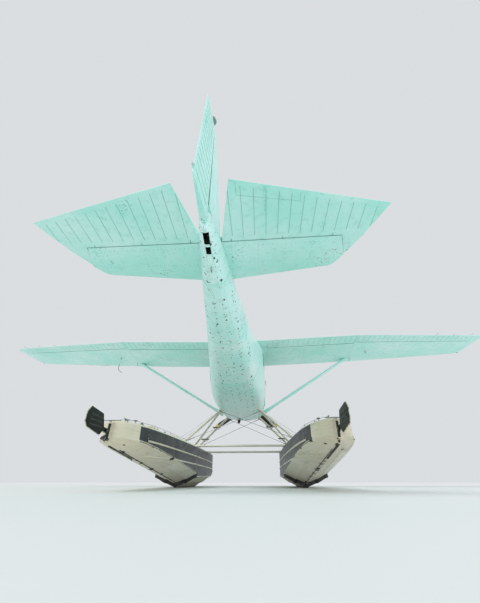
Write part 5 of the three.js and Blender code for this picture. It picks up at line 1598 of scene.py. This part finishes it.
def swollen(name, bm):
    """Remeshes a closed shape evenly and lets cloth blow it up a little, as foam fills its cover."""
    mesh = bpy.data.meshes.new(name)
    bm.to_mesh(mesh)
    bm.free()
    piece = linked(bpy.data.objects.new(name, mesh))
    even = piece.modifiers.new("even", "REMESH")
    even.mode = "VOXEL"
    even.voxel_size = PAD_VOXEL
    piece = settled(piece)
    before = [vertex.co.copy() for vertex in piece.data.vertices]
    cloth = piece.modifiers.new("swell", "CLOTH")
    cloth.settings.use_pressure = True
    cloth.settings.uniform_pressure_force = PAD_PRESSURE
    cloth.settings.effector_weights.gravity = 0.0
    for step in range(1, SWELL_STEPS + 1):
        bpy.context.scene.frame_set(step)
    piece = settled(piece)
    bpy.context.scene.frame_set(1)
    for vertex, start in zip(piece.data.vertices, before):
        move = vertex.co - start
        if move.length > PAD_SWELL:
            vertex.co = start + move * (PAD_SWELL / move.length)
    return piece


def sewn(piece, channels, front, depth=0.008, reach=0.011):
    """Draws a pad's cover in along straight channels at some distances from the middle."""
    moves = []
    for vertex in piece.data.vertices:
        near = min(abs(vertex.co.x - channel) for channel in channels)
        pull = depth * math.exp(-((near / reach) ** 2)) if vertex.normal.dot(front) > 0.35 else 0.0
        moves.append(vertex.normal * -pull)
    for vertex, move in zip(piece.data.vertices, moves):
        vertex.co += move


def pad(name, piping, size, middle, channels, rise, leaning=False):
    """Stuffed leather pad with sewn channels, made round its own middle and then carried to its place. A piped seam
    runs round it, where rays to a point a little above or ahead of its middle meet the cover."""
    front, lean, toward = (-Y, SEAT_LEAN, FORWARD) if leaning else (Z, 0.0, Z)
    piece = swollen(name, box(size, 0.03))
    sewn(piece, channels, front)
    piece.data.transform(Matrix.Translation(middle) @ spun(lean, "X"))
    piece.data.shade_smooth()
    made_of(piece, "leather", "airframe")
    core = Vector(middle) + toward * rise
    rays = [(point, (core - point).normalized(), 1.2) for point in ring(core, toward, 0.9, 96)]
    bars(piping, [hits(surface_of(piece), rays)], 0.0042, "trim", closed=True)
    return piece


PANEL_FACE = -2.0
DIALS = (  # x, z and radius
    (0.14, 2.02, 0.040), (0.25, 2.02, 0.040), (0.36, 2.02, 0.040), (0.14, 1.855, 0.040), (0.25, 1.855, 0.040),
    (0.36, 1.855, 0.040), (-0.16, 2.02, 0.030), (-0.24, 2.02, 0.030), (-0.32, 2.02, 0.030),
)
RADIOS = (2.045, 1.995, 1.945, 1.895)
KNOBS = ((0.045, 0.014), (0.0, 0.014), (-0.045, 0.014), (-0.14, 0.010), (-0.18, 0.010), (-0.22, 0.010))
KNOB_Z = 1.825
YOKE_GRIP = ((0.131, 1.932), (0.139, 1.968), (0.149, 2.006))  # distance from the yoke's middle, and height
YOKE_Y, YOKE_Z = -1.75, 1.925
DOOR_INSIDE = ((-1.25, 1.93), (-1.35, 1.74), (-1.03, 2.03))  # y and z of armrest, map pocket and pull


class FLOATPLANE_OT_seats(bpy.types.Operator):
    """Make the stuffed seats with their frames and belts, and the carpet"""

    bl_idname = "floatplane.seats"
    bl_label = "Seats"

    def execute(self, context):
        frames, belts, buckles = bmesh.new(), bmesh.new(), bmesh.new()
        for side, sign in SIDES:
            x = FRONT_SEATS[0] * sign
            cushion = pad(
                f"seat_cushion_{side}", f"seat_piping_{side}", SEAT_CUSHION, (x, -1.405, 1.802), SEAT_CHANNELS, 0.028
            )
            back = pad(
                f"seat_back_{side}", f"seat_back_piping_{side}", SEAT_BACK, (x, -1.105, 2.085), SEAT_CHANNELS, 0.018,
                leaning=True,
            )
            for piece in (cushion, back):
                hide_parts(f"seat_{side}")
            for out in (-0.14, 0.14):
                put(frames, box((0.030, 0.50, 0.012), 0.003), (x + out, -1.40, 1.489))
                for y, top in ((-1.575, -1.55), (-1.215, -1.24)):
                    put(frames, rod((x + out, y, 1.49), (x + out, top, 1.745), 0.012))
            put(frames, tile(0.40, 0.42, 0.03, 0.012, 0.003), (x, -1.405, 1.744))
            shell = Matrix.Translation((x, -1.058, 2.078)) @ spun(SEAT_LEAN + 90, "X")
            put(frames, tile(0.38, 0.47, 0.05, 0.010, 0.003), shell)
            put(belts, patch(surface_of(cushion), (x, -1.30, 2.4), X * 0.40, Y * 0.045, -Z, 0.003, 28, 3))
            put(buckles, box(BUCKLE, 0.004), (x + 0.03, -1.30, 1.866))
        cushion = pad(
            "bench_cushion", "bench_piping", BENCH_CUSHION, (0.0, -0.605, 1.792), BENCH_CHANNELS, 0.026
        )
        back = pad(
            "bench_back", "bench_back_piping", BENCH_BACK, (0.0, -0.318, 2.055), BENCH_CHANNELS, 0.018,
            leaning=True,
        )
        for piece in (cushion, back):
            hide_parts("rear_seat")
        for x in (-0.2, 0.2):
            put(belts, patch(surface_of(cushion), (x, -0.52, 2.4), X * 0.34, Y * 0.045, -Z, 0.003, 24, 3))
            put(buckles, box(BUCKLE, 0.004), (x + 0.03, -0.52, 1.854))
        finished("seat_frames", frames, "dark")
        finished("lap_belts", belts, "webbing")
        finished("belt_buckles", buckles, "steel")
        base = joined(
            (box((0.74, 0.34, 0.25), 0.012), (0, -0.585, 1.609)),
            (box((0.78, 0.38, 0.012), 0.004), (0, -0.595, 1.738)),
        )
        finished("bench_base", base, "lining")
        finished("carpet", joined((tile(0.86, 1.86, 0.06, 0.006, 0.002), (0, -1.30, 1.4845))), "carpet")
        return {"FINISHED"}


class FLOATPLANE_OT_controls(bpy.types.Operator):
    """Make the dials, radios, knobs, yoke grips and door furniture"""

    bl_idname = "floatplane.controls"
    bl_label = "Instruments and controls"

    def execute(self, context):
        bezels, faces, prints = bmesh.new(), bmesh.new(), bmesh.new()
        for x, z, r in DIALS:
            matrix = turned_to((x, PANEL_FACE, z), Y)
            put(bezels, turned(((0, 0.003), (r * 0.84, 0.003), (r * 0.88, 0.009), (r, 0.007), (r, 0.0)), 28), matrix)
            put(faces, button(r * 0.82, r * 0.82, 0.004, 24), matrix)
            for i in range(12):
                mark = matrix @ spun(30 * i, "Z") @ Matrix.Translation((0, r * 0.66, 0.0044))
                put(prints, box((0.0018, r * 0.16, 0.0008)), mark)
            hand = ((-0.0025, -r * 0.12), (0.0025, -r * 0.12), (0.0008, r * 0.62), (-0.0008, r * 0.62))
            put(prints, plate(hand, 0.001), matrix @ spun(140 + 400 * x, "Z") @ Matrix.Translation((0, 0, 0.0052)))
        for z in RADIOS:
            put(bezels, box((0.165, 0.014, 0.042), 0.003), (0, PANEL_FACE + 0.004, z))
            put(faces, box((0.10, 0.002, 0.022)), (0, PANEL_FACE + 0.0118, z))
            for x in (-0.068, 0.068):
                put(bezels, rod((x, PANEL_FACE, z), (x, PANEL_FACE + 0.024, z), 0.007))
        finished("dial_bezels", bezels, "trim")
        finished("dial_faces", faces, "gap")
        finished("dial_prints", prints, "print")
        knobs = bmesh.new()
        for x, r in KNOBS:
            put(knobs, rod((x, PANEL_FACE, KNOB_Z), (x, PANEL_FACE + 0.05, KNOB_Z), 0.004))
            knob = turned(((0, 0.022), (r * 0.8, 0.021), (r, 0.015), (r, 0.006), (0.006, 0)), 16)
            put(knobs, knob, turned_to((x, PANEL_FACE + 0.045, KNOB_Z), Y))
        finished("panel_knobs", knobs, "trim")

        grips = [[(x + way * out, YOKE_Y, z) for out, z in YOKE_GRIP] for x in FRONT_SEATS for way in (-1, 1)]
        bars("yoke_grips", grips, 0.0175, "rubber", roundness=4)
        hubs = bmesh.new()
        for x in FRONT_SEATS:
            hub = turned(((0, 0.026), (0.026, 0.024), (0.036, 0.010), (0.036, -0.02)), 24)
            put(hubs, hub, turned_to((x, YOKE_Y, YOKE_Z), Y))
        finished("yoke_hubs", hubs, "trim")

        for side, sign in SIDES:
            door = f"door_{side}"
            out = X * sign
            tree = surface_of(door)
            rest, pocket, pull = (touch(tree, (0, y, z), out, 0.8)[0] for y, z in DOOR_INSIDE)
            flat = turned_to(pocket, -out) @ spun(90, "Z") @ Matrix.Translation((0, 0, 0.006))
            rests = joined(
                (box((0.042, 0.30, 0.05), 0.014), rest - out * 0.019), (tile(0.34, 0.17, 0.02, 0.010, 0.003), flat)
            )
            elbow = pull - out * 0.022
            pulls = joined((rod(pull, elbow, 0.008), None), (rod(elbow, elbow - Y * 0.09, 0.0065, 0.0045), None))
            finished(f"{door}_armrest", rests, "trim", door)
            finished(f"{door}_pull", pulls, "steel", door)
        return {"FINISHED"}


def aimed(name, data, toward, place=(0, 0, 0)):
    """Puts a camera or a light in the scene, pointing along a direction."""
    holder = linked(bpy.data.objects.new(name, data))
    holder.location = place
    holder.rotation_euler = Vector(toward).to_track_quat("-Z", "Y").to_euler()
    return holder


FLOOR_RADIUS = 90.0
LOW_LIGHT = Vector((-11.0, 10.0, 3.0))
LOW_LIGHT_AIM = Vector((0, 0, 1.6))


class FLOATPLANE_OT_stage(bpy.types.Operator):
    """Make the pale floor, the soft lights and the camera"""

    bl_idname = "floatplane.stage"
    bl_label = "Studio stage"

    def execute(self, context):
        scene = context.scene
        stage = scene.floatplane_stage
        camera = bpy.data.cameras.new("camera")
        camera.sensor_width = 36.0
        camera.lens = stage.lens
        camera.clip_end = 400.0
        level = math.cos(stage.tilt)
        toward = (math.sin(stage.turn) * level, -math.cos(stage.turn) * level, math.sin(stage.tilt))
        scene.camera = aimed("camera", camera, toward, stage.place)

        bm = bmesh.new()
        bmesh.ops.create_circle(bm, cap_ends=True, segments=64, radius=FLOOR_RADIUS)
        mesh = bpy.data.meshes.new("floor")
        bm.to_mesh(mesh)
        bm.free()
        material, tree, place = new_material("pale studio floor")
        mottle = add_node(tree, "TexNoise", {"Scale": 0.6, "Detail": 3.0}, {"Vector": place})
        rough = add_node(tree, "MapRange", {"To Min": 0.55, "To Max": 0.75}, {"Value": mottle})
        mesh.materials.append(shaded(material, {"Base Color": stage.floor_grey}, {"Roughness": rough}))
        linked(bpy.data.objects.new("floor", mesh))

        world = bpy.data.worlds.new("studio")
        world.use_nodes = True
        sky = world.node_tree.nodes["Background"]
        sky.inputs["Color"].default_value = linear("#E9EDF0")
        sky.inputs["Strength"].default_value = 0.86
        scene.world = world
        sun = bpy.data.lights.new("key", "SUN")
        sun.energy = 1.1
        sun.angle = math.radians(24)
        aimed("key", sun, (-0.5, -0.75, -1.0))
        lamp = bpy.data.lights.new("low side", "AREA")
        lamp.shape = "SQUARE"
        lamp.size = 8.0
        lamp.energy = 420.0
        lamp.color = linear("#EEF4FF")[:3]
        aimed("low side", lamp, LOW_LIGHT_AIM - LOW_LIGHT, LOW_LIGHT)
        scene.view_settings.view_transform = "Standard"
        return {"FINISHED"}


class FLOATPLANE_PT_panel(bpy.types.Panel):
    """Buttons for every step"""

    bl_idname = "FLOATPLANE_PT_panel"
    bl_label = "Floatplane"
    bl_space_type = "VIEW_3D"
    bl_region_type = "UI"
    bl_category = "Floatplane"

    def draw(self, context):
        for operator in OPERATORS:
            self.layout.operator(operator.bl_idname)


GROUPS = (FloatplaneColours, FloatplaneStage)
OPERATORS = (
    FLOATPLANE_OT_stage,
    FLOATPLANE_OT_finishes,
    FLOATPLANE_OT_skins,
    FLOATPLANE_OT_float_hulls,
    FLOATPLANE_OT_fuselage_rivets,
    FLOATPLANE_OT_wing_rivets,
    FLOATPLANE_OT_tail_rivets,
    FLOATPLANE_OT_float_fittings,
    FLOATPLANE_OT_tail_details,
    FLOATPLANE_OT_rigging,
    FLOATPLANE_OT_water_rudders,
    FLOATPLANE_OT_nose,
    FLOATPLANE_OT_windows,
    FLOATPLANE_OT_wing_fittings,
    FLOATPLANE_OT_seats,
    FLOATPLANE_OT_controls,
)


def register():
    for kind in (*GROUPS, *OPERATORS, FLOATPLANE_PT_panel):
        bpy.utils.register_class(kind)
    bpy.types.Scene.floatplane_colours = bpy.props.PointerProperty(type=FloatplaneColours)
    bpy.types.Scene.floatplane_stage = bpy.props.PointerProperty(type=FloatplaneStage)


def unregister():
    del bpy.types.Scene.floatplane_stage
    del bpy.types.Scene.floatplane_colours
    for kind in reversed((*GROUPS, *OPERATORS, FLOATPLANE_PT_panel)):
        bpy.utils.unregister_class(kind)


def main():
    """Builds everything in order."""
    register()
    for operator in OPERATORS:
        getattr(bpy.ops.floatplane, operator.bl_idname.split(".")[1])()


if __name__ == "__main__":
    main()
